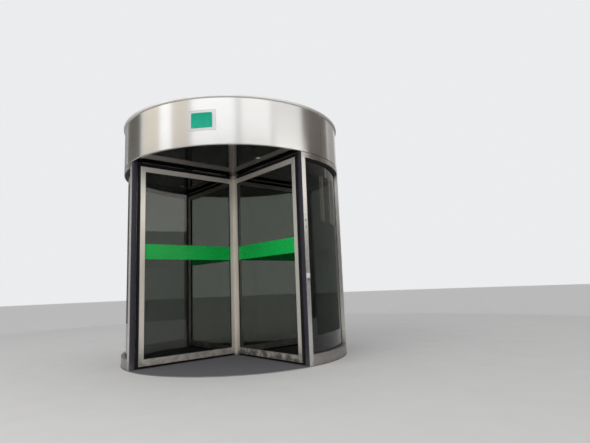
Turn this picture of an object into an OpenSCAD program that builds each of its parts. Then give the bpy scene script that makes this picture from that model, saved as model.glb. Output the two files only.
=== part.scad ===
// Four-wing revolving door: a fixed drum with two curved glass walls and a deep round header,
// and a rotor of four framed glass wings on a centre column.
// Millimetres. The rotor's axis is Z, the floor is z = 0, and the street side looks along -Y.

/* [Drum] */
// Outer radius of the drum, to the faces of fascia, rails, posts and kick plates
drum_r = 1600; // [1300:10:2100]
// Radial depth of the wall framing
wall_t = 75; // [60:1:120]
// Height of the fascia's lower edge above the floor
passage_h = 2700; // [2100:10:3200]
// Angle of each opening between the steel ends of the walls, in degrees
opening_deg = 89.8; // [80:0.2:100]
// Width of an end post along the wall
post_w = 64; // [45:1:140]
// Width of a side post along the wall
side_post_w = 80; // [60:1:140]
// How far the side post's flat joining face stands out of the drum
side_post_proud = 4; // [2:0.5:5]
// Height of the kick plate's top above the floor
kick_h = 140; // [100:5:400]
// Height of the curved top rail
rail_h = 72; // [60:1:200]
// Sheet thickness of the folded steel sections
section_t = 4; // [2:0.5:8]
// Chamfer on the edges of kick plates and top rails beside the glass
section_ease = 3; // [1:0.5:6]
// Thickness of the bent wall glass
pane_t = 10; // [6:0.5:20]
// Distance from the wall's inner face to the bent glass
pane_cover = 10; // [6:0.5:30]

/* [Header] */
// Height of the fascia
fascia_h = 630; // [300:10:1200]
// Thickness of the fascia sheet
fascia_t = 3; // [1.5:0.5:6]
// Width of the fascia's inturned lower flange
flange_w = 30; // [20:1:60]
// Outer radius of the bend between the fascia and that flange
bend_r = 10; // [5:0.5:15]
// Angle that the front and the rear fascia panel each cover, in degrees
wide_panel_deg = 120; // [80:1:140]
// Open joint between two fascia panels
panel_joint = 4; // [1:0.5:10]
// Height of the hollow top lip
lip_h = 26; // [20:1:60]
// How far the top lip stands out of the fascia
lip_out = 20; // [12:1:50]
// Sheet thickness of the top lip
lip_t = 2; // [1.5:0.5:3]
// Thickness of the ceiling panel
ceiling_t = 10; // [6:1:25]
// Thickness of the roof cover
roof_t = 6; // [3:1:20]
// How far the roof cover lies below the fascia's upper edge
roof_drop = 60; // [20:5:150]
// Radial depth of the ring beams
beam_w = 60; // [40:1:120]
// Height of the ring beams
beam_h = 80; // [40:1:150]
// Radius of a ceiling light
light_r = 38; // [20:1:60]
// Distance of the ceiling lights from the axis
light_at = 1070; // [500:10:1300]

/* [Floor] */
// Thickness of the floor pan's plate
pan_t = 3; // [2:0.5:10]
// Thickness of the mat that lies in the pan
mat_t = 5; // [4:0.5:15]
// Width of the pan's raised rim
rim_w = 5; // [3:0.5:10]

/* [Wings] */
// Reach of the outer brush beyond the wing's stile
brush_len = 34; // [15:1:60]
// Thickness of the wing frames
wing_t = 50; // [30:1:80]
// Face width of the outer stile
stile_w = 66; // [50:1:140]
// Face width of the inner stile at the column
inner_stile_w = 53; // [40:1:100]
// Face height of the top rail
wing_rail_h = 68; // [50:1:200]
// Face height of the bottom rail
wing_kick_h = 83; // [60:1:300]
// Space under the bottom rail, which the lower brush fills
wing_lift = 40; // [25:1:80]
// Space between the top rail and the fascia's lower edge, which the upper brush fills
wing_drop = 55; // [30:1:90]
// Thickness of the wing glass
wing_pane_t = 10; // [6:0.5:16]
// Wall thickness of the wing frame's tube
tube_t = 3; // [2:0.5:6]
// Chamfer on the edges of the wing frame's tubes
tube_ease = 1.5; // [0.5:0.5:2.5]
// Thickness of the brush seals
brush_t = 16; // [8:1:24]

/* [Column] */
// Side of the square centre column
column_w = 90; // [70:1:200]
// Wall thickness of the centre column
column_t = 5; // [3:0.5:12]
// Chamfer on the upright edges of the centre column
column_ease = 3; // [1:0.5:4]
// Radius of the drive shaft above the column
shaft_r = 30; // [20:1:34]
// Radius of the pivot pin in the floor bearing
pivot_r = 20; // [10:1:30]

/* [Fittings] */
// Thickness of the rubber safety edge on a wall's end
edge_t = 14; // [6:1:30]
// Width of the number plate along the fascia
plate_w = 266; // [100:1:500]
// Height of the number plate
plate_h = 192; // [80:1:400]
// Margin of the backing plate above and below the number plate
plate_margin = 35; // [10:1:100]
// Margin of the backing plate on either side of the number plate
plate_side_margin = 63; // [10:1:120]
// Thickness of the number plate and of its backing plate
plate_t = 2.5; // [1:0.5:8]
// Side of the white switch plate
switch_w = 50; // [30:1:70]
// Height of the switch plate's centre above the floor
switch_z = 1100; // [700:10:1600]
// Height of the lock pair's centre above the floor
lock_z = 1757; // [1400:10:2200]

/* [Clearances] */
// Gap between the moving rotor and the fixed drum
running_gap = 6; // [5:0.5:15]
// Radial clearance of a shaft in its bore
shaft_gap = 0.1; // [0.05:0.01:0.3]
// Clearance of a pane or insert in its seat
seat_gap = 0.3; // [0.2:0.1:1]
// Depth of the grooves that hold the glass
groove_d = 12; // [6:1:20]
// How far the glass stops short of the groove's floor
groove_play = 2; // [1:0.5:4]

/* [Hidden] */
$fn = 240;

// Colours of the finishes
steel = [0.72, 0.71, 0.69];
frame_steel = [0.66, 0.63, 0.59];
dark_rubber = [0.10, 0.09, 0.12];
tinted = [0.35, 0.42, 0.40, 0.5];
black_gloss = [0.04, 0.04, 0.05];

// Directions of the four wings at rest, in degrees from +X
wing_dirs = [-135, -45, 45, 135];

// Angle in degrees that a length covers along a circle
function arc(len, r) = len / r * 180 / PI;

// Levels
floor_top = pan_t + mat_t;
top_z = passage_h + fascia_h;
roof_z = top_z - roof_drop;
framing_z = passage_h - seat_gap;
ceiling_z = passage_h + fascia_t;
beam_z = ceiling_z + ceiling_t;
wing_z0 = wing_lift;
wing_z1 = passage_h - wing_drop;
brush_z0 = floor_top + running_gap;
brush_z1 = ceiling_z - running_gap;

// Radii
wall_in = drum_r - wall_t;
pane_in = wall_in + pane_cover;
pane_out = pane_in + pane_t;
rim_r = drum_r + side_post_proud + rim_w - 3;
skin_in = drum_r - fascia_t;
brush_r = wall_in - running_gap;
wing_r = brush_r - brush_len;

// Angles of the wall framing, measured from the middle of a wall at +X or -X
end_a = 90 - opening_deg / 2;
post_a = end_a - arc(post_w, drum_r);
side_a = arc(side_post_w / 2, drum_r);

// A block bent round the Z axis, between two radii, two levels and two angles
module bent(r0, r1, z0, z1, a0, a1) {
    rotate([0, 0, a0]) rotate_extrude(angle = a1 - a0)
        translate([r0, z0]) square([r1 - r0, z1 - z0]);
}

// An upright block of the given length, width and height with chamfered upright edges, from x = 0 and round y = 0
module eased_block(len, wide, high, ease) {
    h = wide / 2;
    linear_extrude(height = high) polygon([
        [0, ease - h], [ease, -h], [len - ease, -h], [len, ease - h],
        [len, h - ease], [len - ease, h], [ease, h], [0, h - ease]]);
}

// The groove that holds the bent glass, between two levels and two angles
module pane_groove(z0, z1, a0, a1) {
    bent(pane_in - seat_gap, pane_out + seat_gap, z0, z1, a0, a1);
}

// Places its child at the quarter between +X and +Y, and mirrors it for the other three quarters
module quarter(side, face) {
    mirror([side < 0 ? 1 : 0, 0, 0]) mirror([0, face < 0 ? 1 : 0, 0]) children();
}

module floor_pan() {
    color(steel) rotate_extrude() polygon([
        [0, 0], [rim_r, 0], [rim_r, floor_top - 2], [rim_r - 2, floor_top],
        [rim_r - rim_w, floor_top], [rim_r - rim_w, pan_t], [0, pan_t]]);
}

module floor_mat() {
    sill_a = end_a + arc(edge_t + 4, drum_r);
    color([0.22, 0.24, 0.27]) difference() {
        translate([0, 0, pan_t]) cylinder(r = rim_r - rim_w - seat_gap, h = mat_t);
        for (a = [0, 180]) rotate([0, 0, a])
            bent(wall_in - seat_gap, rim_r + 5, pan_t - 1, floor_top + 1, -sill_a, sill_a);
        translate([0, 0, pan_t - 1]) cylinder(r = bearing_r + seat_gap, h = mat_t + 2);
    }
}

// Radius of the floor bearing's flange, and the level of its top
bearing_r = column_w / 2 + 30;
bearing_z = floor_top + 6;
column_z0 = bearing_z + running_gap;

module floor_bearing() {
    color(steel) {
        translate([0, 0, pan_t]) cylinder(r = bearing_r, h = bearing_z - pan_t - 3);
        translate([0, 0, bearing_z - 3 - 0.01]) cylinder(r1 = bearing_r, r2 = bearing_r - 3, h = 3.01);
        translate([0, 0, bearing_z - 1]) cylinder(r = pivot_r, h = 47);
    }
}

// Two curved sections of one wall, front and rear of its side post: z0 is the solid edge, z1 the edge beside the
// glass, and both are measured from the floor upwards or from the fascia downwards. The sections end at the angle
// stop_a, their hollow at hollow_a and their glass groove at groove_a
module wall_sections(z0, z1, stop_a, hollow_a, groove_a) {
    e = section_ease;
    groove = z1 - groove_d;
    for (f = [1, -1]) quarter(1, f) difference() {
        rotate([0, 0, side_a]) rotate_extrude(angle = stop_a - side_a) polygon([
            [wall_in, z0], [drum_r, z0], [drum_r, z1 - e], [drum_r - e, z1], [wall_in + e, z1], [wall_in, z1 - e]]);
        bent(wall_in + section_t, drum_r - section_t, z0 + section_t, groove - section_t, side_a - 1, hollow_a);
        pane_groove(groove, z1 + 1, side_a - 1, groove_a);
    }
}

module kick_wall() {
    wall_sections(pan_t, kick_h, post_a, post_a + 1, post_a + 1);
}

// The top rails of one wall, which pass over the end posts and carry the seat of the rubber edge in their closed ends,
// with a shallow joint line in each under the fascia's joints
module rail_wall() {
    joint_a = 90 - wide_panel_deg / 2;
    half = arc(panel_joint / 2, drum_r);
    t = arc(section_t, drum_r);
    low = passage_h - rail_h - 1;
    high = passage_h + 1;
    difference() {
        translate([0, 0, passage_h]) mirror([0, 0, 1])
            wall_sections(seat_gap, rail_h, end_a, end_a - 2 * t, post_a + arc(groove_d, drum_r));
        for (f = [1, -1]) quarter(1, f) {
            bent(drum_r - section_t / 2, drum_r + 5, low, high, joint_a - half, joint_a + half);
            bent(edge_seat_r0, edge_seat_r1, low, high, end_a - t, end_a + 1);
        }
    }
}

module kick_left() { color(steel) mirror([1, 0, 0]) kick_wall(); }
module kick_right() { color(steel) kick_wall(); }
module top_rail_left() { color(steel) mirror([1, 0, 0]) rail_wall(); }
module top_rail_right() { color(steel) rail_wall(); }

// An end post under the top rail: a bent tube with the glass groove in its wall side and a shallow seat for the
// rubber edge
module end_post() {
    g = arc(groove_d, drum_r);
    t = arc(section_t, drum_r);
    post_z1 = passage_h - rail_h - seat_gap;
    color(steel) difference() {
        bent(wall_in, drum_r, pan_t, post_z1, post_a, end_a);
        bent(wall_in + section_t, drum_r - section_t, pan_t - 1, post_z1 + 1, post_a + g + t, end_a - 2 * t);
        pane_groove(kick_h - groove_d, post_z1 + 1, post_a - 1, post_a + g);
        bent(edge_seat_r0, edge_seat_r1, pan_t - 1, post_z1 + 1, end_a - t, end_a + 1);
    }
}

module post_front_left() { quarter(-1, -1) end_post(); }
module post_front_right() { quarter(1, -1) end_post(); }
module post_rear_left() { quarter(-1, 1) end_post(); }
module post_rear_right() { quarter(1, 1) end_post(); }

// A side post: a bent tube with a glass groove on both sides and a flat outer face for the facade
module side_post() {
    g = arc(groove_d, drum_r);
    t = arc(section_t, drum_r);
    face_x = drum_r + side_post_proud;
    difference() {
        bent(wall_in, face_x + 8, pan_t, framing_z, -side_a, side_a);
        translate([face_x, -side_post_w, pan_t - 1]) cube([20, 2 * side_post_w, passage_h]);
        bent(rim_r - rim_w - seat_gap, face_x + 20, pan_t - 1, floor_top + seat_gap, -side_a - 1, side_a + 1);
        bent(wall_in + section_t, drum_r - section_t, pan_t - 1, passage_h + 1, -side_a + g + t, side_a - g - t);
        for (s = [-1, 1]) mirror([0, s < 0 ? 1 : 0, 0])
            pane_groove(kick_h - groove_d, passage_h - rail_h + groove_d, side_a - g, side_a + 1);
    }
}

module side_posts() {
    color(steel) for (a = [0, 180]) rotate([0, 0, a]) side_post();
}

// One bent pane, held all round in the grooves
module wall_pane() {
    in_a = arc(groove_d - groove_play, drum_r);
    color(tinted) bent(pane_in, pane_out, kick_h - groove_d + groove_play,
        passage_h - rail_h + groove_d - groove_play, side_a - in_a, post_a + in_a);
}

module glass_front_left() { quarter(-1, -1) wall_pane(); }
module glass_front_right() { quarter(1, -1) wall_pane(); }
module glass_rear_left() { quarter(-1, 1) wall_pane(); }
module glass_rear_right() { quarter(1, 1) wall_pane(); }

// Radial limits of the rubber safety edge on a wall's end, and of the seat that holds its foot
edge_r0 = wall_in + 1;
edge_r1 = drum_r - 2;
edge_seat_r0 = wall_in + 22;
edge_seat_r1 = drum_r - 22;

// The rubber safety edge: a foot in the post's seat and a nose that narrows towards the opening
module safety_edge() {
    gap = arc(seat_gap, drum_r);
    step = arc(edge_t, drum_r) / 3;
    z0 = floor_top + 1;
    z1 = passage_h - 1;
    bent(edge_seat_r0 + seat_gap, edge_seat_r1 - seat_gap, z0, z1, end_a - arc(section_t, drum_r) + gap, end_a + step);
    bent(edge_r0, edge_r1, z0, z1, end_a + gap, end_a + step);
    bent(edge_r0 + 6, edge_r1 - 6, z0, z1, end_a + gap, end_a + 2 * step);
    bent(edge_r0 + 16, edge_r1 - 16, z0, z1, end_a + gap, end_a + 3 * step);
}

module edge_front() { color(dark_rubber) for (s = [-1, 1]) quarter(s, -1) safety_edge(); }
module edge_rear() { color(dark_rubber) for (s = [-1, 1]) quarter(s, 1) safety_edge(); }

// Direction of the front right post's middle
fitting_a = -(end_a + post_a) / 2;

module switch_plate() {
    color([0.9, 0.9, 0.88]) rotate([0, 0, fitting_a])
        translate([drum_r, -switch_w / 2, switch_z - switch_w * 0.58]) cube([9, switch_w, switch_w * 1.16]);
}

module post_locks() {
    color(dark_rubber) rotate([0, 0, fitting_a]) {
        translate([drum_r, 0, switch_z - switch_w * 0.58 - 24]) rotate([0, 90, 0]) cylinder(r = 12, h = 10);
        for (s = [-1, 1]) translate([drum_r, 0, lock_z + s * 43]) rotate([0, 90, 0]) cylinder(r = 10, h = 6);
    }
}

// Points of a quarter circle of radius r about a centre, from angle a0 to a1
function bend(c, r, a0, a1, steps = 6) =
    [for (k = [0 : steps]) let (a = a0 + (a1 - a0) * k / steps) [c[0] + r * cos(a), c[1] + r * sin(a)]];

// One fascia panel over deg degrees: a sheet rolled to the drum's radius, its lower edge bent in to a flange
module fascia_panel(dir, deg) {
    half = deg / 2 - arc(panel_joint / 2, drum_r);
    c = [drum_r - bend_r, passage_h + bend_r];
    color(steel) rotate([0, 0, dir - half]) rotate_extrude(angle = 2 * half) polygon(concat(
        [[skin_in, top_z]], bend(c, bend_r - fascia_t, 0, -90),
        [[drum_r - flange_w, passage_h + fascia_t], [drum_r - flange_w, passage_h]],
        bend(c, bend_r, -90, 0), [[drum_r, top_z]]));
}

module fascia_front() { fascia_panel(-90, wide_panel_deg); }
module fascia_right() { fascia_panel(0, 180 - wide_panel_deg); }
module fascia_rear() { fascia_panel(90, wide_panel_deg); }
module fascia_left() { fascia_panel(180, 180 - wide_panel_deg); }

// The top lip: a hollow ring outside the fascia with rounded outer corners, and a leg that caps the fascia's edge
module top_lip() {
    low_r = 10;
    high_r = 6;
    lip_in = drum_r + seat_gap;
    lip_r = drum_r + lip_out;
    z0 = top_z - lip_h;
    z1 = top_z + fascia_t;
    color(steel) rotate_extrude() difference() {
        polygon(concat([[lip_in, z0]],
            bend([lip_r - low_r, z0 + low_r], low_r, -90, 0),
            bend([lip_r - high_r, z1 - high_r], high_r, 0, 90),
            [[skin_in - 12, z1], [skin_in - 12, top_z], [lip_in, top_z]]));
        polygon(concat([[lip_in + lip_t, z0 + lip_t]],
            bend([lip_r - low_r, z0 + low_r], low_r - lip_t, -90, 0),
            bend([lip_r - high_r, z1 - high_r], high_r - lip_t, 0, 90),
            [[lip_in + lip_t, z1 - lip_t]]));
    }
}

// Sizes of the roof's hatch over the drive and of its cable box
hatch = [820, 560, 14];
cable_box = [180, 130, 42];

module roof_cover() {
    color(steel) {
        translate([0, 0, roof_z - roof_t]) cylinder(r = skin_in - seat_gap, h = roof_t);
        translate([-hatch[0] / 2, -hatch[1] / 2, roof_z - 1]) cube([hatch[0], hatch[1], hatch[2] + 1]);
        translate([-cable_box[0] / 2, 1080, roof_z - 1]) cube([cable_box[0], cable_box[1], cable_box[2] + 1]);
    }
}

// A ring beam: a rolled channel whose web backs the fascia and whose flanges point inwards
module ring_channel(z0, z1) {
    out = skin_in - seat_gap;
    rotate_extrude() polygon([[out - beam_w, z0], [out, z0], [out, z1], [out - beam_w, z1],
        [out - beam_w, z1 - section_t], [out - section_t, z1 - section_t],
        [out - section_t, z0 + section_t], [out - beam_w, z0 + section_t]]);
}

// A straight channel along X that spans the lower ring, open towards the shaft
module cross_channel() {
    len = 2 * (skin_in - beam_w) + 40;
    difference() {
        translate([-len / 2, 90, beam_z]) cube([len, beam_w, beam_h]);
        translate([-len / 2 - 1, 90 - 1, beam_z + section_t])
            cube([len + 2, beam_w - section_t + 1, beam_h - 2 * section_t]);
    }
}

module header_frame() {
    upper_z1 = roof_z - roof_t;
    color([0.45, 0.45, 0.46]) difference() {
        union() {
            ring_channel(beam_z, beam_z + beam_h);
            ring_channel(upper_z1 - beam_h, upper_z1);
            for (a = [22.5 : 45 : 359]) rotate([0, 0, a])
                translate([skin_in - beam_w + 6, -30, beam_z + beam_h - 1])
                    cube([10, 60, upper_z1 - beam_z - 2 * beam_h + 2]);
            cross_channel();
            mirror([0, 1, 0]) cross_channel();
            translate([-120, -100, beam_z]) cube([240, 200, 12]);
            translate([0, 0, beam_z]) cylinder(r = shaft_r + 25, h = beam_h - 20);
        }
        translate([0, 0, beam_z - 1]) cylinder(r = shaft_r + 4, h = beam_h + 2);
        translate([0, 0, beam_z - 1]) cylinder(r = shaft_r + 14 + seat_gap, h = 17);
    }
}

// Directions of the ceiling lights: one on each side of both walls' pinch ends
light_dirs = [-60, -24, 120, 156];

module ceiling_disc() {
    color(black_gloss) difference() {
        translate([0, 0, ceiling_z + seat_gap]) cylinder(r = drum_r - bend_r - seat_gap, h = ceiling_t - seat_gap);
        translate([0, 0, ceiling_z - 1]) cylinder(r = shaft_r + 14 + seat_gap, h = ceiling_t + 2);
        for (a = light_dirs) rotate([0, 0, a]) translate([light_at, 0, ceiling_z - 1])
            cylinder(r = light_r + seat_gap, h = ceiling_t + 2);
    }
}

module ceiling_lights() {
    color([0.8, 0.8, 0.78]) for (a = light_dirs) rotate([0, 0, a]) translate([light_at, 0, 0]) {
        translate([0, 0, ceiling_z + 0.5]) cylinder(r = light_r, h = ceiling_t + 20);
        translate([0, 0, beam_z]) cylinder(r = light_r + 10, h = 4);
    }
}

module shaft_collar() {
    color(steel) difference() {
        union() {
            translate([0, 0, ceiling_z - 5]) cylinder(r = column_w / 2 + 32, h = 5);
            translate([0, 0, ceiling_z - 1]) cylinder(r = shaft_r + 14, h = ceiling_t + 14);
        }
        translate([0, 0, ceiling_z - 6]) cylinder(r = shaft_r + shaft_gap, h = ceiling_t + 21);
    }
}

// Direction and level of the number plate's middle on the fascia
plate_dir = -91.65;
plate_z = passage_h + fascia_h * 0.505;

module plate_back() {
    a = arc(plate_w / 2 + plate_side_margin, drum_r);
    color([0.75, 0.77, 0.75]) rotate([0, 0, plate_dir])
        bent(drum_r + seat_gap, drum_r + plate_t, plate_z - plate_h / 2 - plate_margin, plate_z + plate_h / 2 + plate_margin, -a, a);
}

module number_plate() {
    a = arc(plate_w / 2, drum_r);
    color([0.05, 0.45, 0.25]) rotate([0, 0, plate_dir])
        bent(drum_r + plate_t + seat_gap, drum_r + 2 * plate_t, plate_z - plate_h / 2, plate_z + plate_h / 2, -a, a);
}

module column() {
    shaft_top = beam_z + beam_h - 10;
    column_z1 = ceiling_z - 5 - running_gap - 1;
    color(frame_steel) rotate([0, 0, 45]) difference() {
        union() {
            difference() {
                translate([-column_w / 2, 0, column_z0])
                    eased_block(column_w, column_w, column_z1 - column_z0, column_ease);
                translate([-column_w / 2 + column_t, -column_w / 2 + column_t, column_z0 + 24])
                    cube([column_w - 2 * column_t, column_w - 2 * column_t, column_z1 - column_z0 - 48]);
            }
            translate([0, 0, column_z1 - 1]) cylinder(r = shaft_r, h = shaft_top - column_z1 + 1);
        }
        translate([0, 0, column_z0 - 1]) cylinder(r = pivot_r + shaft_gap, h = 26);
    }
}

// Positions along a wing, from the axis outwards
inner_x0 = column_w / 2;
inner_x1 = inner_x0 + inner_stile_w;
outer_x0 = wing_r - stile_w;

// An upright frame tube, from its solid edge at x = 0 to the glass groove at x = w
module stile(w) {
    difference() {
        translate([0, 0, wing_z0]) eased_block(w, wing_t, wing_z1 - wing_z0, tube_ease);
        translate([tube_t, -wing_t / 2 + tube_t, wing_z0 - 1])
            cube([w - groove_d - 2 * tube_t, wing_t - 2 * tube_t, wing_z1 - wing_z0 + 2]);
        translate([w - groove_d, -wing_pane_t / 2 - seat_gap, wing_z0 + wing_kick_h - groove_d])
            cube([groove_d + 1, wing_pane_t + 2 * seat_gap,
                wing_z1 - wing_z0 - wing_kick_h - wing_rail_h + 2 * groove_d]);
    }
}

module wing_stiles(dir) {
    color(frame_steel) rotate([0, 0, dir]) {
        translate([inner_x0, 0, 0]) stile(inner_stile_w);
        translate([wing_r, 0, 0]) mirror([1, 0, 0]) stile(stile_w);
    }
}

// A level frame tube of height h, from its solid edge at z = 0 to the glass groove at z = h
module rail(h) {
    len = outer_x0 - inner_x1;
    difference() {
        translate([inner_x1 + len, 0, 0]) rotate([0, -90, 0]) eased_block(h, wing_t, len, tube_ease);
        translate([inner_x1 - 1, -wing_t / 2 + tube_t, tube_t])
            cube([len + 2, wing_t - 2 * tube_t, h - groove_d - 2 * tube_t]);
        translate([inner_x1 - 1, -wing_pane_t / 2 - seat_gap, h - groove_d])
            cube([len + 2, wing_pane_t + 2 * seat_gap, groove_d + 1]);
    }
}

module wing_rails(dir) {
    color(frame_steel) rotate([0, 0, dir]) {
        translate([0, 0, wing_z0]) rail(wing_kick_h);
        translate([0, 0, wing_z1]) mirror([0, 0, 1]) rail(wing_rail_h);
    }
}

module wing_glass(dir) {
    hold = groove_d - groove_play;
    color(tinted) rotate([0, 0, dir])
        translate([inner_x1 - hold, -wing_pane_t / 2, wing_z0 + wing_kick_h - hold])
            cube([outer_x0 - inner_x1 + 2 * hold, wing_pane_t,
                wing_z1 - wing_z0 - wing_kick_h - wing_rail_h + 2 * hold]);
}

// Brushes along the lower, upper and outer edge of every wing
module wing_seals() {
    x0 = inner_x0 + 12;
    color(dark_rubber) for (d = wing_dirs) rotate([0, 0, d]) {
        translate([x0, -brush_t / 2, brush_z0]) cube([wing_r - x0, brush_t, wing_z0 - brush_z0]);
        translate([max(x0, column_w / 2 + 40), -brush_t / 2, wing_z1])
            cube([wing_r - max(x0, column_w / 2 + 40), brush_t, brush_z1 - wing_z1]);
        translate([wing_r + seat_gap, -brush_t / 2, brush_z0])
            cube([brush_r - wing_r - seat_gap, brush_t, brush_z1 - brush_z0]);
    }
}

module wing_1_stiles() { wing_stiles(wing_dirs[0]); }
module wing_1_rails() { wing_rails(wing_dirs[0]); }
module wing_1_glass() { wing_glass(wing_dirs[0]); }
module wing_2_stiles() { wing_stiles(wing_dirs[1]); }
module wing_2_rails() { wing_rails(wing_dirs[1]); }
module wing_2_glass() { wing_glass(wing_dirs[1]); }
module wing_3_stiles() { wing_stiles(wing_dirs[2]); }
module wing_3_rails() { wing_rails(wing_dirs[2]); }
module wing_3_glass() { wing_glass(wing_dirs[2]); }
module wing_4_stiles() { wing_stiles(wing_dirs[3]); }
module wing_4_rails() { wing_rails(wing_dirs[3]); }
module wing_4_glass() { wing_glass(wing_dirs[3]); }

floor_pan();
floor_mat();
floor_bearing();
kick_left();
kick_right();
top_rail_left();
top_rail_right();
post_front_left();
post_front_right();
post_rear_left();
post_rear_right();
side_posts();
glass_front_left();
glass_front_right();
glass_rear_left();
glass_rear_right();
edge_front();
edge_rear();
switch_plate();
post_locks();
fascia_front();
fascia_right();
fascia_rear();
fascia_left();
top_lip();
roof_cover();
header_frame();
ceiling_disc();
ceiling_lights();
shaft_collar();
plate_back();
number_plate();
column();
wing_1_stiles();
wing_1_rails();
wing_1_glass();
wing_2_stiles();
wing_2_rails();
wing_2_glass();
wing_3_stiles();
wing_3_rails();
wing_3_glass();
wing_4_stiles();
wing_4_rails();
wing_4_glass();
wing_seals();
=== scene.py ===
"""Finishes, small parts and studio of a four-wing revolving door.

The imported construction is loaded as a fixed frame. Each sub-assembly below dresses its share of the
frame's nodes and adds the parts that carry its look: gaskets, brushes, mat ribs, bands, screws.
Lengths are in metres and angles in degrees, the floor is z = 0 and the front looks along -Y.
"""

import logging
import math
import random
from dataclasses import dataclass
from enum import Enum
from typing import ClassVar, Sequence

import bmesh
import bpy
from bpy.types import Material, Node, NodeOutputs, NodeSocket, NodeTree, Object
from mathutils import Matrix, Vector


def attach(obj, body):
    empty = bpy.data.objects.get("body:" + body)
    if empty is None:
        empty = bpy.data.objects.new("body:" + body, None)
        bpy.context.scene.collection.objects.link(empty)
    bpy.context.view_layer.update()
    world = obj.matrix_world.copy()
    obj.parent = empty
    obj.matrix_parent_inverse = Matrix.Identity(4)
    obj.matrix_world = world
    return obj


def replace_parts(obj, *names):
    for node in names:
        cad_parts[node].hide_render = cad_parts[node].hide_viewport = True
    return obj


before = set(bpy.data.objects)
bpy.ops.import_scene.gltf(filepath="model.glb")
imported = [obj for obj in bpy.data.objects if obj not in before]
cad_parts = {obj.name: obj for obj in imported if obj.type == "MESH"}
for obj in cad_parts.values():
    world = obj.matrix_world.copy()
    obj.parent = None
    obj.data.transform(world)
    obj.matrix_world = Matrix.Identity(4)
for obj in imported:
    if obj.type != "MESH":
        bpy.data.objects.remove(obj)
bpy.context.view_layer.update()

log = logging.getLogger("revolving_door")

Colour = tuple[float, float, float]
Span = tuple[float, float]
Outline = Sequence[Span]

DRUM_R = 1.6
SIDES = (-1, 1)
QUARTERS = {"front_left": (-1, -1), "front_right": (1, -1), "rear_left": (-1, 1), "rear_right": (1, 1)}

# How far screws, feet and handles reach into what carries them
SINK = 0.0005

# Points closer than this are one point of a mesh
WELD = 1e-7

# Keeps comparisons and divisions clear of rounding
TINY = 1e-6

# Edges sharper than these stay sharp in the shading, and take a bevel where a piece has one
SHARP_FROM = 38.0
BEVEL_FROM = 40.0


class Body(Enum):
    """The two bodies of the door that pieces ride on."""

    DRUM = "drum"
    ROTOR = "rotor"


class Grain(Enum):
    """The direction in which a sheet or tube was brushed."""

    ROUND = "round the drum"
    UPRIGHT = "upright"
    WING_A = "level, along the wings at 45 degrees"
    WING_B = "level, along the wings at -45 degrees"


# Node groups and materials


class Bench:
    """Places and joins the nodes of one tree."""

    def __init__(self, tree: NodeTree) -> None:
        """Takes the tree to work on."""
        self.tree = tree

    def add(self, kind: str, values: dict | None = None, **settings: object) -> Node:
        """Adds a node.

        Args:
            kind: the node's type name without its common prefix.
            values: constants or output sockets, by the input's name or number.
            settings: the node's own options.

        Returns:
            The new node.
        """
        node = self.tree.nodes.new("ShaderNode" + kind)
        for name, option in settings.items():
            setattr(node, name, option)
        for key, value in (values or {}).items():
            self.feed(node.inputs[key], value)
        return node

    def feed(self, socket: NodeSocket, value: object) -> None:
        """Joins an output to an input, or sets the input's constant.

        Args:
            socket: the input.
            value: an output socket, a number, a vector or a colour.
        """
        if isinstance(value, NodeSocket):
            self.tree.links.new(value, socket)
        elif socket.type == "RGBA" and len(value) == 3:
            socket.default_value = (*value, 1.0)
        else:
            socket.default_value = value

    def maths(self, operation: str, *values: object, clamp: bool = False) -> NodeSocket:
        """Adds a Math node and returns its output."""
        return self.add("Math", dict(enumerate(values)), operation=operation, use_clamp=clamp).outputs[0]

    def times(self, first: object, second: object) -> NodeSocket:
        """Multiplies two numbers and returns the output."""
        return self.maths("MULTIPLY", first, second)

    def scaled(self, vector: object, by: object) -> NodeSocket:
        """Multiplies a vector by another, component by component, and returns the output."""
        return self.add("VectorMath", {0: vector, 1: by}, operation="MULTIPLY").outputs[0]

    def vector(self, x: object, y: object, z: object) -> NodeSocket:
        """Joins three numbers to a vector and returns the output."""
        return self.add("CombineXYZ", {0: x, 1: y, 2: z}).outputs[0]

    def split(self, vector: object) -> NodeOutputs:
        """Splits a vector and returns its three numbers."""
        return self.add("SeparateXYZ", {0: vector}).outputs

    def noise(self, vector: object, scale: float, detail: float, rough: float = 0.5) -> NodeSocket:
        """Adds a noise texture and returns its value, mostly between 0.3 and 0.7."""
        values = {"Vector": vector, "Scale": scale, "Detail": detail, "Roughness": rough}
        return self.add("TexNoise", values).outputs[0]

    def ranged(self, value: object, low: Span, high: Span = (0.0, 1.0)) -> NodeSocket:
        """Maps a value from the first range to the second, clamped, and returns the output."""
        return self.add("MapRange", dict(enumerate((value, *low, *high)))).outputs[0]

    def mixed(self, share: object, first: object, second: object) -> NodeSocket:
        """Mixes two colours by a share and returns the output."""
        return self.add("Mix", {0: share, 6: first, 7: second}, data_type="RGBA").outputs[2]


class GroupBench(Bench):
    """The nodes of a shared effect: a group that reads a position and a few numbers."""

    def __init__(self, name: str, *numbers: str) -> None:
        """Starts the group.

        Args:
            name: its name.
            numbers: the names of its inputs after the position.
        """
        super().__init__(bpy.data.node_groups.new(name, "ShaderNodeTree"))
        for label in ("Position", *numbers):
            self._socket(label, "INPUT", "Float" if label in numbers else "Vector")
        self.given = self.tree.nodes.new("NodeGroupInput").outputs[:1 + len(numbers)]

    def _socket(self, label: str, side: str, kind: str) -> None:
        """Adds a socket to the group's interface."""
        self.tree.interface.new_socket(label, in_out=side, socket_type="NodeSocket" + kind)

    def give(self, **results: NodeSocket) -> NodeTree:
        """Puts results out.

        Args:
            results: what each output carries, by the output's name in small letters.

        Returns:
            The finished group.
        """
        for label, value in results.items():
            self._socket(label.title(), "OUTPUT", "Vector" if value.type == "VECTOR" else "Float")
        end = self.tree.nodes.new("NodeGroupOutput")
        for label, value in results.items():
            self.feed(end.inputs[label.title()], value)
        return self.tree


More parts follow.
